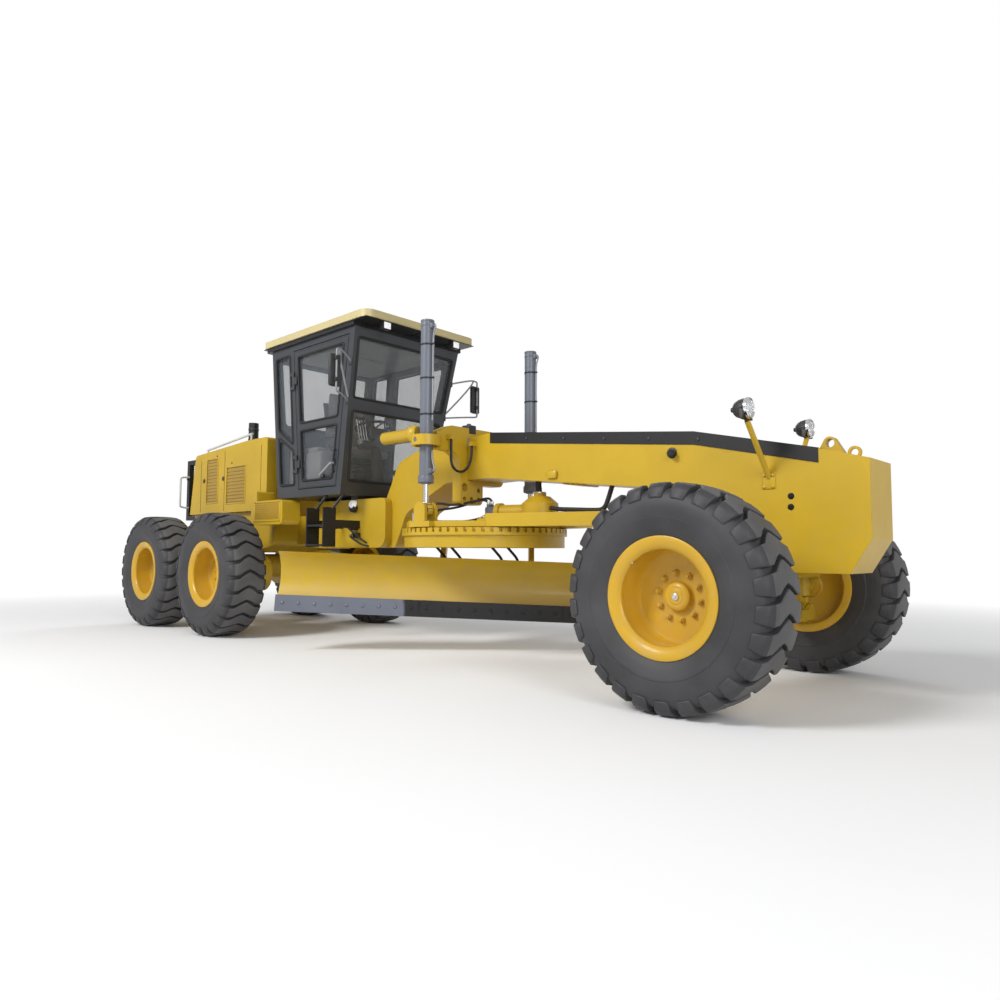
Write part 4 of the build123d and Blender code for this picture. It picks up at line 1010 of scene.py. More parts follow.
# %% [markdown]
# Behind the glass stands a padded seat. A cushion starts as a fine cube: its middle is crowned, its sides
# pull in between the corners, and sewn channels are pressed into its face. Behind dark glass this reads as
# well as simulated cloth, and it is the same on every run.

# %% Seat cushions
DECK = CAB_SILL
SEAT_X = -4600


def tipped(degrees):
    """Turn about the machine's Y axis."""
    return Matrix.Rotation(radians(degrees), 4, "Y")


def cushion(name, place, size, channels):
    """Padded block; channels are shares of its width where seams are sewn."""
    bench = bmesh.new()
    bmesh.ops.create_cube(bench, size=2.0)
    bmesh.ops.subdivide_edges(bench, edges=bench.edges, cuts=15, use_grid_fill=True)
    for vert in bench.verts:
        u, v, w = vert.co
        soft = (1 - u**6) * (1 - v**6)
        waist = 1 - 0.05 * (1 - u * u) * (1 - w * w)
        face = w * (0.62 + 0.38 * soft**0.5)
        if w > 0.5:
            face -= sum(0.16 * max(0.0, 1 - abs(v - seam) / 0.09) * soft for seam in channels)
        pull = 1 - 0.07 * w * w
        vert.co = Vector((u * pull, v * pull * waist, face))
    halves = Matrix.Diagonal((*[s / 2 for s in size], 1.0))
    bmesh.ops.transform(bench, matrix=place @ halves, verts=bench.verts)
    piece = off_bench(name, bench, seat_cloth, "front_frame", 60.0)
    smooth = piece.modifiers.new("smooth", "SUBSURF")
    smooth.levels = smooth.render_levels = 1


cushions = (  # name, middle, tip in degrees, size, channels
    ("seat_cushion", at(SEAT_X, 0, DECK + 425), -4, (0.50, 0.50, 0.13), (-0.5, 0.5)),
    ("seat_back", at(-4862, 0, DECK + 760), -78, (0.60, 0.46, 0.12), (-0.55, 0.55)),
    ("seat_headrest", at(-4935, 0, DECK + 1090), -78, (0.15, 0.30, 0.10), ()),
)
for name, middle, tip, size, channels in cushions:
    cushion(name, Matrix.Translation(middle) @ tipped(tip), size, channels)
print("cushions:", len(cushions))

# %% [markdown]
# Under the cushions are a bellows, a pan, a back plate and two armrests. The bellows is a stack of softened
# blocks, every other one a little smaller.

# %% Seat base
bench = bmesh.new()
for step in range(7):
    z = DECK + 60 + step * 42
    half = 165 if step % 2 else 185
    slab(bench, at(SEAT_X - half, -half, z), at(SEAT_X + half, half, z + 40), 0.014)
slab(bench, at(SEAT_X - 215, -225, DECK + 352), at(SEAT_X + 215, 225, DECK + 374), 0.008)
slab(bench, at(SEAT_X - 220, -190, DECK), at(SEAT_X + 200, 190, DECK + 62), 0.01)
slab(bench, at(-4925, -205, DECK + 420), at(-4895, 205, DECK + 1060), 0.012, tipped(-12))
for y in (-80, 80):
    pole(bench, at(-4905, y, DECK + 980), at(-4935, y, DECK + 1080), 0.006, 10)
for side in (1, -1):
    slab(bench, at(-4830, side * 290 - 35, DECK + 610), at(-4520, side * 290 + 35, DECK + 650), 0.014)
    pole(bench, at(-4810, side * 285, DECK + 450), at(-4800, side * 285, DECK + 620), 0.014, 12)
    pole(bench, at(-4815, side * 285, DECK + 450), at(-4800, side * 225, DECK + 430), 0.014, 12)
base = off_bench("seat_base", bench, trim_plastic, "front_frame")
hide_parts("cab_interior")
print("seat base ready")

# %% [markdown]
# A raked column carries the steering wheel. Its boot and housing are cones along the rake, and the wheel's
# rim is a ring of short bars that overlap, laid in the plane across the column.

# %% Steering column
foot, head = at(-4180, 0, DECK), at(-4318, 0, DECK + 725)
rake = head - foot
bench = bmesh.new()
pole(bench, foot, foot + rake * 0.12, 0.105, 28, end_radius=0.075, soften=0.006)
pole(bench, foot + rake * 0.1, foot + rake * 0.72, 0.072, 28, end_radius=0.052, soften=0.004)
pole(bench, foot + rake * 0.70, head, 0.03, 20, soften=0.003)
slab(bench, at(-4330, -210, DECK + 470), at(-4200, 210, DECK + 540), 0.02, tipped(-14))
slab(bench, at(-4235, -120, DECK + 560), at(-4185, 120, DECK + 700), 0.016, tipped(-14))
off_bench("steering_column", bench, trim_plastic, "front_frame")
bench = bmesh.new()
on_column = Matrix.Translation(head) @ rake.to_track_quat("Z", "Y").to_matrix().to_4x4()
rim_points = ring_of(48, 0.19)
for (x, y), (x2, y2) in zip(rim_points, rim_points[1:] + rim_points[:1]):
    pole(bench, on_column @ Vector((x, y, 0)), on_column @ Vector((x2, y2, 0)), 0.0145, 12)
for x, y in ring_of(3, 0.187, 0.75):
    pole(bench, on_column @ Vector((0, 0, -0.03)), on_column @ Vector((x, y, 0)), 0.009, 10)
hub = [on_column @ Vector((0, 0, z)) for z in (-0.045, -0.01)]
pole(bench, *hub, 0.05, 28, end_radius=0.036, soften=0.006)
off_bench("steering_wheel", bench, seal_rubber, "front_frame")
print("steering wheel points:", len(rim_points))

# %% [markdown]
# Two rows of four thin levers work the blade. Each has a small boot and a round knob, and the knobs of a
# row are a piece of their own because they are of another finish.

# %% Levers
for name, side in SIDES:
    bench = bmesh.new()
    knobs = bmesh.new()
    y = side * 165
    slab(bench, at(-4300, y - 62, DECK + 505), at(-4225, y + 62, DECK + 560), 0.012, tipped(-14))
    for lever in range(4):
        y = side * (112 + lever * 34)
        low, high = at(-4262, y, DECK + 545), at(-4330, y, DECK + 800)
        pole(bench, low, high, 0.0055, 10)
        pole(bench, low - Vector((0, 0, 0.01)), low + Vector((0, 0, 0.025)), 0.017, 14, end_radius=0.008)
        knob_place = Matrix.Translation(high)
        bmesh.ops.create_uvsphere(knobs, u_segments=16, v_segments=10, radius=0.019, matrix=knob_place)
    off_bench(f"lever_rods_{name}", bench, zinc, "front_frame")
    off_bench(f"lever_knobs_{name}", knobs, lamp_shell, "front_frame")
print("levers: 8")

# %% [markdown]
# A side desk with buttons stands by the seat, a ribbed mat with two pedals lies on the floor, and a padded
# panel lines the roof. All of them are softened blocks, seen only through the windows.

# %% Cab floor and desk
bench = bmesh.new()
slab(bench, at(-5040, -560, DECK), at(-4480, -360, DECK + 430), 0.03)
slab(bench, at(-4960, -545, DECK + 425), at(-4560, -375, DECK + 470), 0.014)
for button in range(6):
    x = -4900 + button * 56
    slab(bench, at(x, -520, DECK + 466), at(x + 34, -478, DECK + 480), 0.004)
slab(bench, at(-5190, -500, DECK), at(-5060, 500, DECK + 520), 0.03)
off_bench("side_desk", bench, desk_grey, "front_frame")
bench = bmesh.new()
slab(bench, at(-5050, -350, DECK), at(-4110, 540, DECK + 9), 0.004)
for rib in range(30):
    x = -5020 + rib * 30
    slab(bench, at(x, -335, DECK + 8), at(x + 12, 525, DECK + 13), 0.002)
for side in (1, -1):
    y = side * 210
    slab(bench, at(-4150, y - 45, DECK + 90), at(-4135, y + 45, DECK + 260), 0.006, tipped(-28))
off_bench("floor_mat", bench, seal_rubber, "front_frame")
bench = bmesh.new()
slab(bench, at(-5150, -600, 3060), at(-3860, 600, 3098), 0.015)
slab(bench, at(-4700, -200, 3030), at(-4400, 200, 3066), 0.015)
off_bench("headliner", bench, desk_grey, "front_frame")
print("cab dressed")

# %% [markdown]
# The lift cylinders hang in their rings. Each has a bolted head round its bright rod, a cap, and a port
# block with a plug at both ends. The drawn barrel stays, and its fittings are short bars stacked on its
# axis, from a list of heights and radii.

# %% Lift cylinders
TRUNNION_X, LIFT_Y = -2640, 700
rings_on_barrel = (  # low z, high z, radius, steps, softening
    (1522, 1578, 0.070, 40, 0.004), (1508, 1524, 0.044, 32, 0.003), (2944, 2962, 0.062, 40, 0.005),
    (2905, 2917, 0.0625, 40, 0.002),
)
for name, side in SIDES:
    y = side * LIFT_Y
    bench = bmesh.new()
    for low, high, radius, steps, soften in rings_on_barrel:
        pole(bench, at(TRUNNION_X, y, low), at(TRUNNION_X, y, high), radius, steps, soften=soften)
    for dx, dy in ring_of(8, 57):
        hex_bolt(bench, at(TRUNNION_X + dx, y + dy, 1522), (0, 0, -1), 0.013)
    for z in (1600, 2880):
        slab(bench, at(TRUNNION_X + 45, y - 22, z), at(TRUNNION_X + 82, y + 22, z + 46), 0.004)
        pole(bench, at(TRUNNION_X + 80, y, z + 23), at(TRUNNION_X + 98, y, z + 23), 0.014, 6, soften=0.001)
    off_bench(f"cylinder_fittings_{name}", bench, cylinder_paint, "front_frame")
print("lift cylinders: 2")

# %% [markdown]
# A hard line runs from each port along the barrel, and three clips hold it. A clip's band is turned flat on
# a bench of its own and stood up before it joins the others.

# %% Cylinder pipes
upper_bends = ((90, 2903), (104, 2903), (106, 2885), (82, 2830), (76, 2760), (76, 2300), (76, 2060))
lower_bends = ((90, 1623), (108, 1623), (110, 1650), (84, 1700), (76, 1760), (76, 1800))
clip_section = ((-7, 58), (-7, 62.5), (7, 62.5), (7, 58))
for name, side in SIDES:
    y = side * LIFT_Y
    pipes = [[(TRUNNION_X + ahead, y, z) for ahead, z in bends] for bends in (upper_bends, lower_bends)]
    lines(f"cylinder_pipes_{name}", pipes, 16, arm_grey, "front_frame")
    bench = bmesh.new()
    for z in (2120, 2440, 2740):
        ring_bench = bmesh.new()
        turned_ring(ring_bench, clip_section, 40)
        upright = Matrix.Translation(at(TRUNNION_X, y, z)) @ Matrix.Rotation(pi / 2, 4, "X")
        bmesh.ops.transform(ring_bench, matrix=upright, verts=ring_bench.verts)
        band = bpy.data.meshes.new("clip")
        ring_bench.to_mesh(band)
        ring_bench.free()
        bench.from_mesh(band)
        bpy.data.meshes.remove(band)
        slab(bench, at(TRUNNION_X + 56, y - 13, z - 8), at(TRUNNION_X + 86, y + 13, z + 8), 0.003)
    off_bench(f"cylinder_clips_{name}", bench, black_paint, "front_frame")
print("clips: 6")

# %% [markdown]
# The blade wears bolted edge plates. Everything on it is placed on the blade across the machine, rolled a
# little and turned to its heading, as on the drawing. So each bolt has plain sizes along the blade, and one
# matrix moves them all.

# %% Blade edge
CIRCLE_X = -2600
BLADE_HEADING, BLADE_ROLL = radians(42.8 - 90), radians(-2.1)
BLADE_LOW, BLADE_LONG, BLADE_SHIFT, BLADE_AHEAD = 376.0, 3965.0, 60.0, 70.0
right_end = BLADE_SHIFT - BLADE_LONG / 2
pivot = Vector((0, right_end, BLADE_LOW)) / 1000
rolled = Matrix.Translation(pivot) @ Matrix.Rotation(BLADE_ROLL, 4, "X") @ Matrix.Translation(-pivot)
blade_turn = Matrix.Translation(at(CIRCLE_X, 0, 0)) @ Matrix.Rotation(BLADE_HEADING, 4, "Z") @ rolled
plate_long = BLADE_LONG / 3


def on_blade(x, y, z):
    """A point ahead of the circle's axis, along the blade from its right end, and above the blade's foot."""
    return Vector((x, right_end + y, BLADE_LOW + z)) / 1000


bench = bmesh.new()
for plate in range(3):
    for bolt in range(9):
        y = plate * plate_long + 70 + bolt * (plate_long - 140) / 8
        middle = on_blade(BLADE_AHEAD + 12, y, 78)
        pole(bench, middle, middle + Vector((0.007, 0, 0.001)), 0.017, 16, end_radius=0.012, soften=0.001)
for seam in (1, 2):
    y = seam * plate_long
    slab(bench, on_blade(BLADE_AHEAD + 2, y - 2, 2), on_blade(BLADE_AHEAD + 20, y + 2, 146))
off_bench("edge_bolts", bench, edge_steel, "blade", place=blade_turn)
bench = bmesh.new()
for bolt in range(26):
    y = 70 + bolt * (BLADE_LONG - 140) / 25
    hex_bolt(bench, on_blade(BLADE_AHEAD - 42, y, 96), (-1, 0, 0), 0.026)
off_bench("edge_nuts", bench, zinc, "blade", place=blade_turn)
print("edge plates: 3, each", round(plate_long), "mm")

# %% [markdown]
# On the drawbar's plate lie the rings of bolts of the circle's drive, four guide clamps that hold the
# circle up, and the motor's end with its two ports. Bolts are what gives such a plain casting its scale, so
# each one is modelled and none is painted on.

# %% Circle drive
PLATE_TOP = 1182.0
drive_x = CIRCLE_X + 670
motor_z = PLATE_TOP + 95
bench = bmesh.new()
for count, radius, first, rise_mm, size in ((12, 174, 0.5, 40, 0.022), (8, 44, 0.0, 255, 0.012)):
    for dx, dy in ring_of(count, radius, first):
        hex_bolt(bench, at(drive_x + dx, dy, PLATE_TOP + rise_mm), (0, 0, 1), size)
for side in (1, -1):
    for x in (-2710, -2570):
        for y in (560, 620):
            hex_bolt(bench, at(x, side * y, PLATE_TOP), (0, 0, 1), 0.028)
for dx, y in ring_of(4, 640, 0.5):
    x = CIRCLE_X + dx
    slab(bench, at(x - 70, y - 45, PLATE_TOP - 2), at(x + 70, y + 45, PLATE_TOP + 24), 0.006)
    for along in (-45, 0, 45):
        for across in (-22, 22):
            hex_bolt(bench, at(x + along, y + across, PLATE_TOP + 24), (0, 0, 1), 0.022)
off_bench("circle_bolts", bench, yellow_paint, "drawbar")
bench = bmesh.new()
flange, waist = at(drive_x - 436, -65, motor_z), at(drive_x - 500, -75, motor_z)
pole(bench, flange, waist, 0.070, 32, end_radius=0.060, soften=0.005)
slab(bench, at(drive_x - 560, -118, motor_z - 55), at(drive_x - 496, -34, motor_z + 55), 0.012)
for y in (-100, -52):
    pole(bench, at(drive_x - 528, y, motor_z + 50), at(drive_x - 528, y, motor_z + 78), 0.017, 6, soften=0.001)
for across, rise_share in ring_of(4, 1, 0.5):
    hex_bolt(bench, at(drive_x - 560, -76 + 34 * across, motor_z + 38 * rise_share), (-1, 0, 0), 0.014)
off_bench("motor_end", bench, cylinder_paint, "drawbar")
bench = bmesh.new()
slab(bench, at(drive_x - 45, -50, PLATE_TOP + 250), at(drive_x + 45, 30, PLATE_TOP + 266), 0.004)
slab(bench, at(-2990, -560, PLATE_TOP - 2), at(-2900, -420, PLATE_TOP + 95), 0.01)
off_bench("drive_fittings", bench, zinc, "drawbar")
print("circle drive ready")

# %% [markdown]
# Three hoses feed the drive's motor. They start at a block on the plate, lie along the drawbar and end at
# the motor, so they ride on the drawbar from end to end. Each route has a few points, with more where it
# turns down into its port.

# %% Drive lines
upper_route = (
    (-2925, -500, PLATE_TOP + 23), (-2925, -500, PLATE_TOP + 80), (-2905, -488, PLATE_TOP + 140),
    (drive_x - 850, -420, motor_z + 95), (drive_x - 760, -330, motor_z + 60),
    (drive_x - 580, -150, motor_z + 120), (drive_x - 528, -100, motor_z + 110),
    (drive_x - 528, -100, motor_z + 76),
)
middle_route = (
    (-2910, -460, PLATE_TOP + 23), (-2906, -458, PLATE_TOP + 80), (drive_x - 900, -380, motor_z + 30),
    (drive_x - 780, -240, motor_z + 50), (drive_x - 600, -80, motor_z + 140),
    (drive_x - 528, -52, motor_z + 130), (drive_x - 528, -52, motor_z + 76),
)
lower_route = (
    (drive_x - 930, -430, PLATE_TOP + 16), (drive_x - 800, -350, PLATE_TOP + 16),
    (drive_x - 640, -190, PLATE_TOP + 18), (drive_x - 555, -110, motor_z - 30),
)
free_hose("drive_line_upper", upper_route, 22, "drawbar")
free_hose("drive_line_middle", middle_route, 22, "drawbar")
free_hose("drive_line_lower", lower_route, 22, "drawbar")
print("drive lines: 3")

# %% [markdown]
# A hose drops from the beam to the gearbox, and a short sleeve stands over it. Their upper ends are at the
# beam and their lower ends at the drawbar; both are meshes that ride on no body, with their place baked in.

# %% Swivel hose
swivel_route = (
    (-1101, -100, 1468), (-1150, -100, 1330), (-1190, -100, 1262), (-1290, -100, 1262), (-1500, -100, 1275),
    (-1660, -95, 1283), (-1755, -60, 1300),
)
swivel_hose = lines("swivel_hose", (swivel_route,), 40, hose_rubber, None)
at(-1101, -100, 1450)
at(-1290, -100, 1262)
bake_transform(swivel_hose)
at(-1101, -100, 1468)
centre_line(swivel_route)
top_route = ((drive_x, -20, 1440), (drive_x + 6, -20, 1470), (drive_x - 4, -20, 1500), (drive_x, -20, 1545))
top_hose = lines("top_hose", (top_route,), 56, hose_rubber, None)
at(drive_x, -20, 1535)
at(drive_x, -20, 1445)
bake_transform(top_hose)
print("hoses between beam and drawbar: 2")

# %% [markdown]
# Four hoses hang from the circle down behind the blade. They are alike, so one route is drawn for a blade
# straight across, moved along it four times, and turned to the blade's heading.

# %% Lines behind the blade
across_turn = Matrix.Rotation(BLADE_HEADING, 3, "Z")
for number, y in enumerate((-470, -330, 60, 210), 1):
    route = (
        (-205, y, 972), (-212, y + 50, 915), (-225, y + 105, 850), (-238, y + 130, 720), (-240, y + 130, 610),
    )
    turned = [across_turn @ Vector(p) + Vector((CIRCLE_X, 0, 0)) for p in route]
    free_hose(f"blade_line_{number}", turned, 26, "circle")
print("blade lines: 4")

# %% [markdown]
# Small things on the beam: black discs in its nose, a painted shade where its holes are, the oval port in its
# side, the box and the pale strip by the saddle, three clamps under it and a lug. Each is a few softened
# blocks and bars, because a soft edge that catches light matters more on them than a true outline.

# %% Beam fittings
bench = bmesh.new()
# The holes are black discs: painted shade.
for x, z in ((347, 1293), (345, 1223)):
    for side in (1, -1):
        pole(bench, at(x, side * 213, z), at(x, side * 218, z), 0.021, 28, soften=0.001)
off_bench("nose_holes", bench, hole_shade_black, "front_frame")
bench = bmesh.new()
pole(bench, at(-509, -208, 1647), at(-509, -224, 1647), 0.040, 36, soften=0.004)
pole(bench, at(-509, -220, 1647), at(-490, -262, 1632), 0.028, 28, soften=0.004)
pole(bench, at(-491, -258, 1633), at(-484, -276, 1628), 0.021, 6, soften=0.001)
slab(bench, at(-2712, -205, 2006), at(-2612, -105, 2096), 0.012)
pole(bench, at(-2662, -155, 2090), at(-2662, -155, 2112), 0.02, 20, soften=0.004)
off_bench("beam_port", bench, lamp_shell, "front_frame")
bench = bmesh.new()
strip = ((-2905, 1862), (-2600, 1881), (-2600, 1971), (-2905, 1952))
for side in (1, -1):
    cut_plate(bench, [at(x, side * 214, z) for x, z in strip], (0, side * 0.006, 0))
slab(bench, at(-2690, -226, 1930), at(-2634, -214, 2010), 0.003)
slab(bench, at(-2690, -220, 1998), at(-2634, -120, 2008), 0.003)
off_bench("beam_strip", bench, arm_grey, "front_frame")
bench = bmesh.new()
for place in range(3):
    x = -1427 - place * 62
    slab(bench, at(x - 22, -150, 1470 + place * 7), at(x + 22, 150, 1500 + place * 7), 0.01)
slab(bench, at(-1665, -244, 1528), at(-1565, -213, 1596), 0.016)
off_bench("beam_clamps", bench, yellow_paint, "front_frame")
print("beam fitted")

# %% [markdown]
# Below the cab are a step lamp and two valves with short hoses that loop down to the hitch. The loops show
# well in the open gap there, so they are free hoses with their real length, and not pipes.

# %% Belly fittings
bench = bmesh.new()
pole(bench, at(-4205, -298, 1372), at(-4205, -352, 1372), 0.046, 32, end_radius=0.040, soften=0.004)
off_bench("step_lamp", bench, lamp_shell, "front_frame")
bench = bmesh.new()
pole(bench, at(-4205, -322, 1408), at(-4205, -358, 1420), 0.050, 32, end_radius=0.034, soften=0.012)
off_bench("step_lamp_glass", bench, lamp_white, "front_frame")
bench = bmesh.new()
for x, z in ((-4190, 1170), (-4150, 1085)):
    slab(bench, at(x - 45, -352, z - 30), at(x + 45, -298, z + 30), 0.008)
    pole(bench, at(x, -350, z), at(x, -378, z), 0.019, 6, soften=0.001)
off_bench("belly_valves", bench, lamp_shell, "front_frame")
upper_loop = (
    (-3990, -312, 1010), (-4060, -350, 1060), (-4160, -404, 1150), (-4190, -400, 1170), (-4190, -374, 1170),
)
lower_loop = (
    (-3960, -306, 975), (-4010, -345, 985), (-4100, -404, 1050), (-4150, -402, 1082), (-4150, -374, 1085),
)
free_hose("belly_line_upper", upper_loop, 20, "front_frame")
free_hose("belly_line_lower", lower_loop, 20, "front_frame")
print("belly lines: 2")

# %% [markdown]
# Bolted caps close the hitch pin above and below. Screws hold the cab's mounts and the black cover along
# the beam's top edges, which rise from the nose to a shoulder and on to the saddle. The screws follow that
# slope by a small function, as they would follow a drawn line.

# %% Caps and screws
SHOULDER_X, SHOULDER_Z = -333, 1783
SADDLE_END_X, SADDLE_END_Z = -2335, 1986


def beam_top(x):
    """Height of the beam's top edge."""
    if x >= SHOULDER_X:
        return SHOULDER_Z - (x - SHOULDER_X) * 0.22
    return SHOULDER_Z + (x - SHOULDER_X) * (SADDLE_END_Z - SHOULDER_Z) / (SADDLE_END_X - SHOULDER_X)


bench = bmesh.new()
for z, way in ((930, -1), (1410, 1)):
    pole(bench, at(HITCH_X, 0, z), at(HITCH_X, 0, z + way * 22), 0.105, 40, soften=0.004)
    for dx, dy in ring_of(6, 78):
        hex_bolt(bench, at(HITCH_X + dx, dy, z + way * 22), (0, 0, way), 0.024)
off_bench("hitch_caps", bench, yellow_paint, "front_frame")
bench = bmesh.new()
for side in (1, -1):
    for x in (-4310, -4190, -4910, -4790):
        pole(bench, at(x, side * 250, 1440), at(x, side * 250, 1466), 0.022, 6, soften=0.002)
    for x in range(-300, -2300, -400):
        z = beam_top(x) - 50
        pole(bench, at(x, side * 221, z), at(x, side * 226, z), 0.012, 16, soften=0.002)
off_bench("cover_screws", bench, lamp_shell, "front_frame")
print("caps and screws ready")

# %% [markdown]
# On the hood, each louvred panel has a folded rim and a round latch, and seams part its sheets. Four blocks
# round a panel are its rim, for the hood's louvres as for the tanks' mesh below.

# %% Hood panels
def panel_rim(bench, corners, wide, y_in, y_out, radius):
    """Four blocks round a panel; wide is how far they reach beyond it in x and in z."""
    x_low, x_high, z_low, z_high = corners
    across, tall = wide
    blocks = (
        (x_low - across, x_low, z_low - tall, z_high + tall),
        (x_high, x_high + across, z_low - tall, z_high + tall),
        (x_low, x_high, z_low - tall, z_low),
        (x_low, x_high, z_high, z_high + tall),
    )
    for x_start, x_end, z_start, z_end in blocks:
        slab(bench, at(x_start, y_in, z_start), at(x_end, y_out, z_end), radius)


bench = bmesh.new()
latches = bmesh.new()
for side in (1, -1):
    for panel in ((-7160, -6870, 1540, 2094), (-6625, -6170, 1514, 1957)):
        panel_rim(bench, panel, (16, 16), *sorted((side * 499, side * 506)), 0.002)
    for x, z in ((-7240, 1830), (-6720, 1830)):
        pole(latches, at(x, side * 498, z), at(x, side * 506, z), 0.030, 32, soften=0.002)
        slab(latches, at(x - 20, side * 508 - 4, z - 6), at(x + 20, side * 508 + 4, z + 6), 0.002)
    for x, z in ((-6509, 2013), (-5810, 1560), (-6900, 2130)):
        pole(latches, at(x, side * 498, z), at(x, side * 504, z), 0.013, 20, soften=0.002)
    y_in, y_out = sorted((side * 499, side * 502.5))
    for x, top in ((-5800, 2180), (-6690, 2180), (-7330, 2100)):
        slab(latches, at(x - 2, y_in, 1420), at(x + 2, y_out, top))
off_bench("louvre_rims", bench, yellow_paint, "rear_frame")
off_bench("hood_latches", latches, latch_brown, "rear_frame")
print("hood panels: 4")

# %% [markdown]
# The side tanks carry a mesh panel that lets air to the engine. Its crossed bars are real geometry, because
# a pattern in the paint would look flat from the side.

# %% Tank mesh
bench = bmesh.new()
frame_bench = bmesh.new()
for side in (1, -1):
    y = side * 702
    for bar in range(22):
        x = -5540 + bar * 24
        slab(bench, at(x, y - 3, 1262), at(x + 5, y + 3, 1460), 0.001)
    for bar in range(9):
        z = 1264 + bar * 24
        slab(bench, at(-5540, y - 2, z), at(-5030, y + 4, z + 5), 0.001)
    panel_rim(frame_bench, (-5540, -5032, 1264, 1458), (20, 18), y - 5, y + 7, 0.003)
    for x, z in corners_of(-5550, -5022, 1256, 1466):
        hex_bolt(frame_bench, at(x, y + side * 6, z), (0, side, 0), 0.014)
# The mesh bars take the darkened yellow, a painted shade.
off_bench("side_mesh", bench, grille_shaded_yellow, "rear_frame")
off_bench("side_mesh_frame", frame_bench, yellow_paint, "rear_frame")
print("mesh panels: 2")

# %% [markdown]
# At the tail, bars close the radiator's outlet, and lamp boxes stand on both sides of them. Their places
# are taken from the drawn guard's box, so that they sit in its opening even if the tail is drawn longer.

# %% Tail
guard_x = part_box("rear_guard")[0][0] * 1000 - FRONT_AXLE
bench = bmesh.new()
for bar in range(24):
    z = 1400 + bar * 29
    slab(bench, at(guard_x + 26, -372, z), at(guard_x + 36, 372, z + 9), 0.002)
for bar in range(5):
    y = -310 + bar * 155
    pole(bench, at(guard_x + 42, y, 1388), at(guard_x + 42, y, 2092), 0.009, 12)
off_bench("tail_bars", bench, black_paint, "rear_frame")
bench = bmesh.new()
lamps_bench = bmesh.new()
for side in (1, -1):
    y = side * 400
    slab(bench, at(guard_x + 4, y - 28, 1840), at(guard_x + 66, y + 28, 2010), 0.01)
    pole(bench, at(guard_x + 36, side * 428, 1900), at(guard_x + 36, side * 446, 1900), 0.02, 16)
    slab(lamps_bench, at(guard_x + 1, y - 22, 1850), at(guard_x + 6, y + 22, 2000), 0.002)
off_bench("tail_lamp_boxes", bench, lamp_shell, "rear_frame")
off_bench("tail_lamp_glass", lamps_bench, lamp_red, "rear_frame")
loop = [
    (guard_x + 90, y, z)
    for y, z in ((-440, 1500), (-560, 1500), (-560, 1560), (-560, 1860), (-560, 1920), (-440, 1920))
]
lines("tail_rail", (loop,), 26, rail_white, "rear_frame")
print("tail at", round(guard_x), "mm")

# %% [markdown]
# The exhaust has two clamp bands and a collar where it leaves the hood. Beside it are the filler cap and
# four small pads. Bands a few millimetres proud of the pipe are enough, since only their shadow lines
# show.

# %% Hood top
EXHAUST = (-6360, -300)
bench = bmesh.new()
bands = ((2300, 2322, 0.0645, 0.003), (2430, 2452, 0.0645, 0.003), (2256, 2272, 0.095, 0.004))
for low, high, radius, soften in bands:
    pole(bench, at(*EXHAUST, low), at(*EXHAUST, high), radius, 36, soften=soften)
off_bench("exhaust_bands", bench, lamp_shell, "rear_frame")
bench = bmesh.new()
pole(bench, at(-6900, 120, 2180), at(-6900, 120, 2262), 0.045, 32, soften=0.006)
pole(bench, at(-6900, 120, 2258), at(-6900, 120, 2284), 0.056, 24, soften=0.006)
for side in (1, -1):
    for x, z in ((-7290, 2170), (-6140, 2252)):
        slab(bench, at(x - 26, side * 440 - 26, z), at(x + 26, side * 440 + 26, z + 16), 0.003)
off_bench("hood_cap", bench, lamp_shell, "rear_frame")
print("hood top ready")

# %% [markdown]
# The tandem cases show rings of bolts round the wheels' axles and round the middle cover, where the chain
# case hangs on the rear axle. The same ring helper as for the hitch spreads them, here in an upright plane.

# %% Tandem bolts
TANDEM_X, TANDEM_Z = -6390, 730
bench = bmesh.new()
for side in (1, -1):
    for x in (MID_AXLE, REAR_AXLE):
        for dx, dz in ring_of(10, 120):
            hex_bolt(bench, at(x + dx, side * 800, AXLE_HEIGHT + dz), (0, side, 0), 0.022)
    pole(bench, at(TANDEM_X, side * 798, TANDEM_Z), at(TANDEM_X, side * 812, TANDEM_Z), 0.15, 48, soften=0.005)
    for dx, dz in ring_of(12, 128):
        hex_bolt(bench, at(TANDEM_X + dx, side * 812, TANDEM_Z + dz), (0, side, 0), 0.020)
off_bench("tandem_bolts", bench, yellow_paint, "rear_frame")
print("tandem bolts ready")

# %% [markdown]
# The studio has a pale floor that fades to white far away, so that no horizon shows. Near the machine it is
# a plain matt surface, which keeps the shadow.

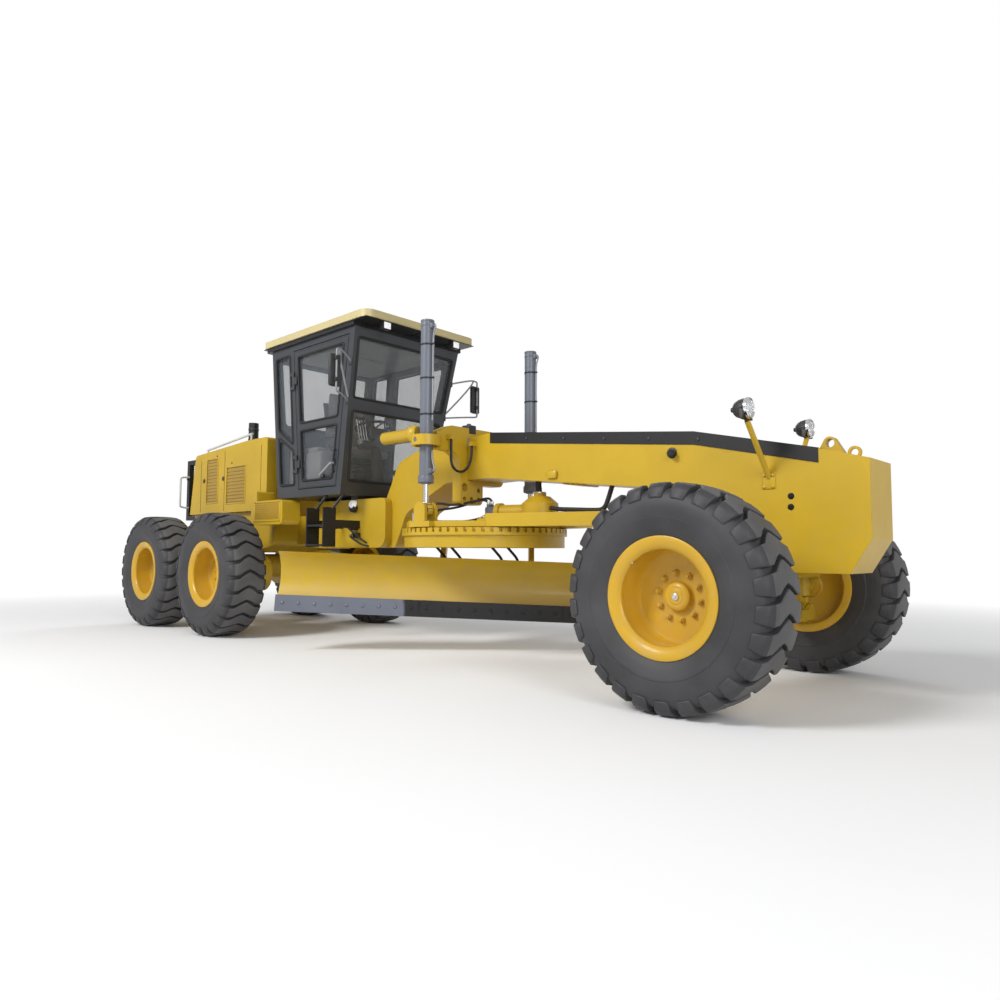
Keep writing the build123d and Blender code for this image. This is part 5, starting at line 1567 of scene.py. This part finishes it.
# %% Floor
WHITE = (1.0, 1.0, 1.0, 1.0)
bench = bmesh.new()
bmesh.ops.create_grid(bench, x_segments=2, y_segments=2, size=60.0)
floor_mesh = bpy.data.meshes.new("floor")
bench.to_mesh(floor_mesh)
bench.free()
pale = Finish("floor_pale")
reach = pale.node("ShaderNodeVectorMath", {"operation": "LENGTH"}, {0: pale.place}, output="Value")
matt = pale.node("ShaderNodeBsdfDiffuse", None, {"Color": (0.93, 0.93, 0.93, 1.0)})
white = pale.node("ShaderNodeEmission", None, {"Color": WHITE, "Strength": 1.0})
faded = pale.node("ShaderNodeMixShader", None, {0: reach.between(5.5, 11.0), 1: matt, 2: white})
pale.shown_by("ShaderNodeOutputMaterial", faded)
floor_mesh.materials.append(pale.material)
floor = add_object("floor", floor_mesh)
print("floor:", floor.dimensions.x, "m")

# %% [markdown]
# Three broad soft lamps light the machine: one high over the camera's left shoulder, one lower at the front
# and a weak one behind. Their size softens the shadows, and their strength leaves each colour as it is
# written.

# %% Studio lamps
def studio_lamp(name, strength, size, place, aim):
    """Round soft lamp that shines from place to aim."""
    data = bpy.data.lights.new(name, "AREA")
    data.shape = "DISK"
    data.size = size
    data.energy = strength
    place, aim = Vector(place), Vector(aim)
    shine = (aim - place).to_track_quat("-Z", "Y").to_matrix().to_4x4()
    add_object(name, data).matrix_world = Matrix.Translation(place) @ shine


studio_lamp("key_lamp", 1240, 4.5, (-1.0, -11.0, 9.0), (0, 0, 0.8))
studio_lamp("front_lamp", 460, 6.0, (12.0, -6.0, 5.0), (0.5, 0, 0.8))
studio_lamp("back_lamp", 330, 6.0, (-6.0, 9.0, 8.0), (0, 0, 1.0))
print("lamps:", len(bpy.data.lights))

# %% [markdown]
# The world is a white surround for the camera, for glass and in part for shiny surfaces, but a dim one for
# the light that falls on the machine. Light Path tells which ray is asking.

# %% Surround
def ray_is(kind):
    """1 for rays of this kind, 0 for others."""
    return surround.node("ShaderNodeLightPath", output=f"Is {kind} Ray")


world = bpy.data.worlds.new("studio")
bpy.context.scene.world = world
surround = NodeTree(world)
seen = (ray_is("Glossy") * 0.3 + ray_is("Camera") + ray_is("Transmission")).clipped()
dim = surround.node("ShaderNodeBackground", None, {"Color": (0.97, 0.98, 1.0, 1.0), "Strength": 0.38})
backdrop = surround.node("ShaderNodeBackground", None, {"Color": WHITE, "Strength": 1.0})
both = surround.node("ShaderNodeMixShader", None, {0: seen, 1: dim, 2: backdrop})
surround.shown_by("ShaderNodeOutputWorld", both)
bpy.context.scene.view_settings.view_transform = "Standard"
print("surround ready")
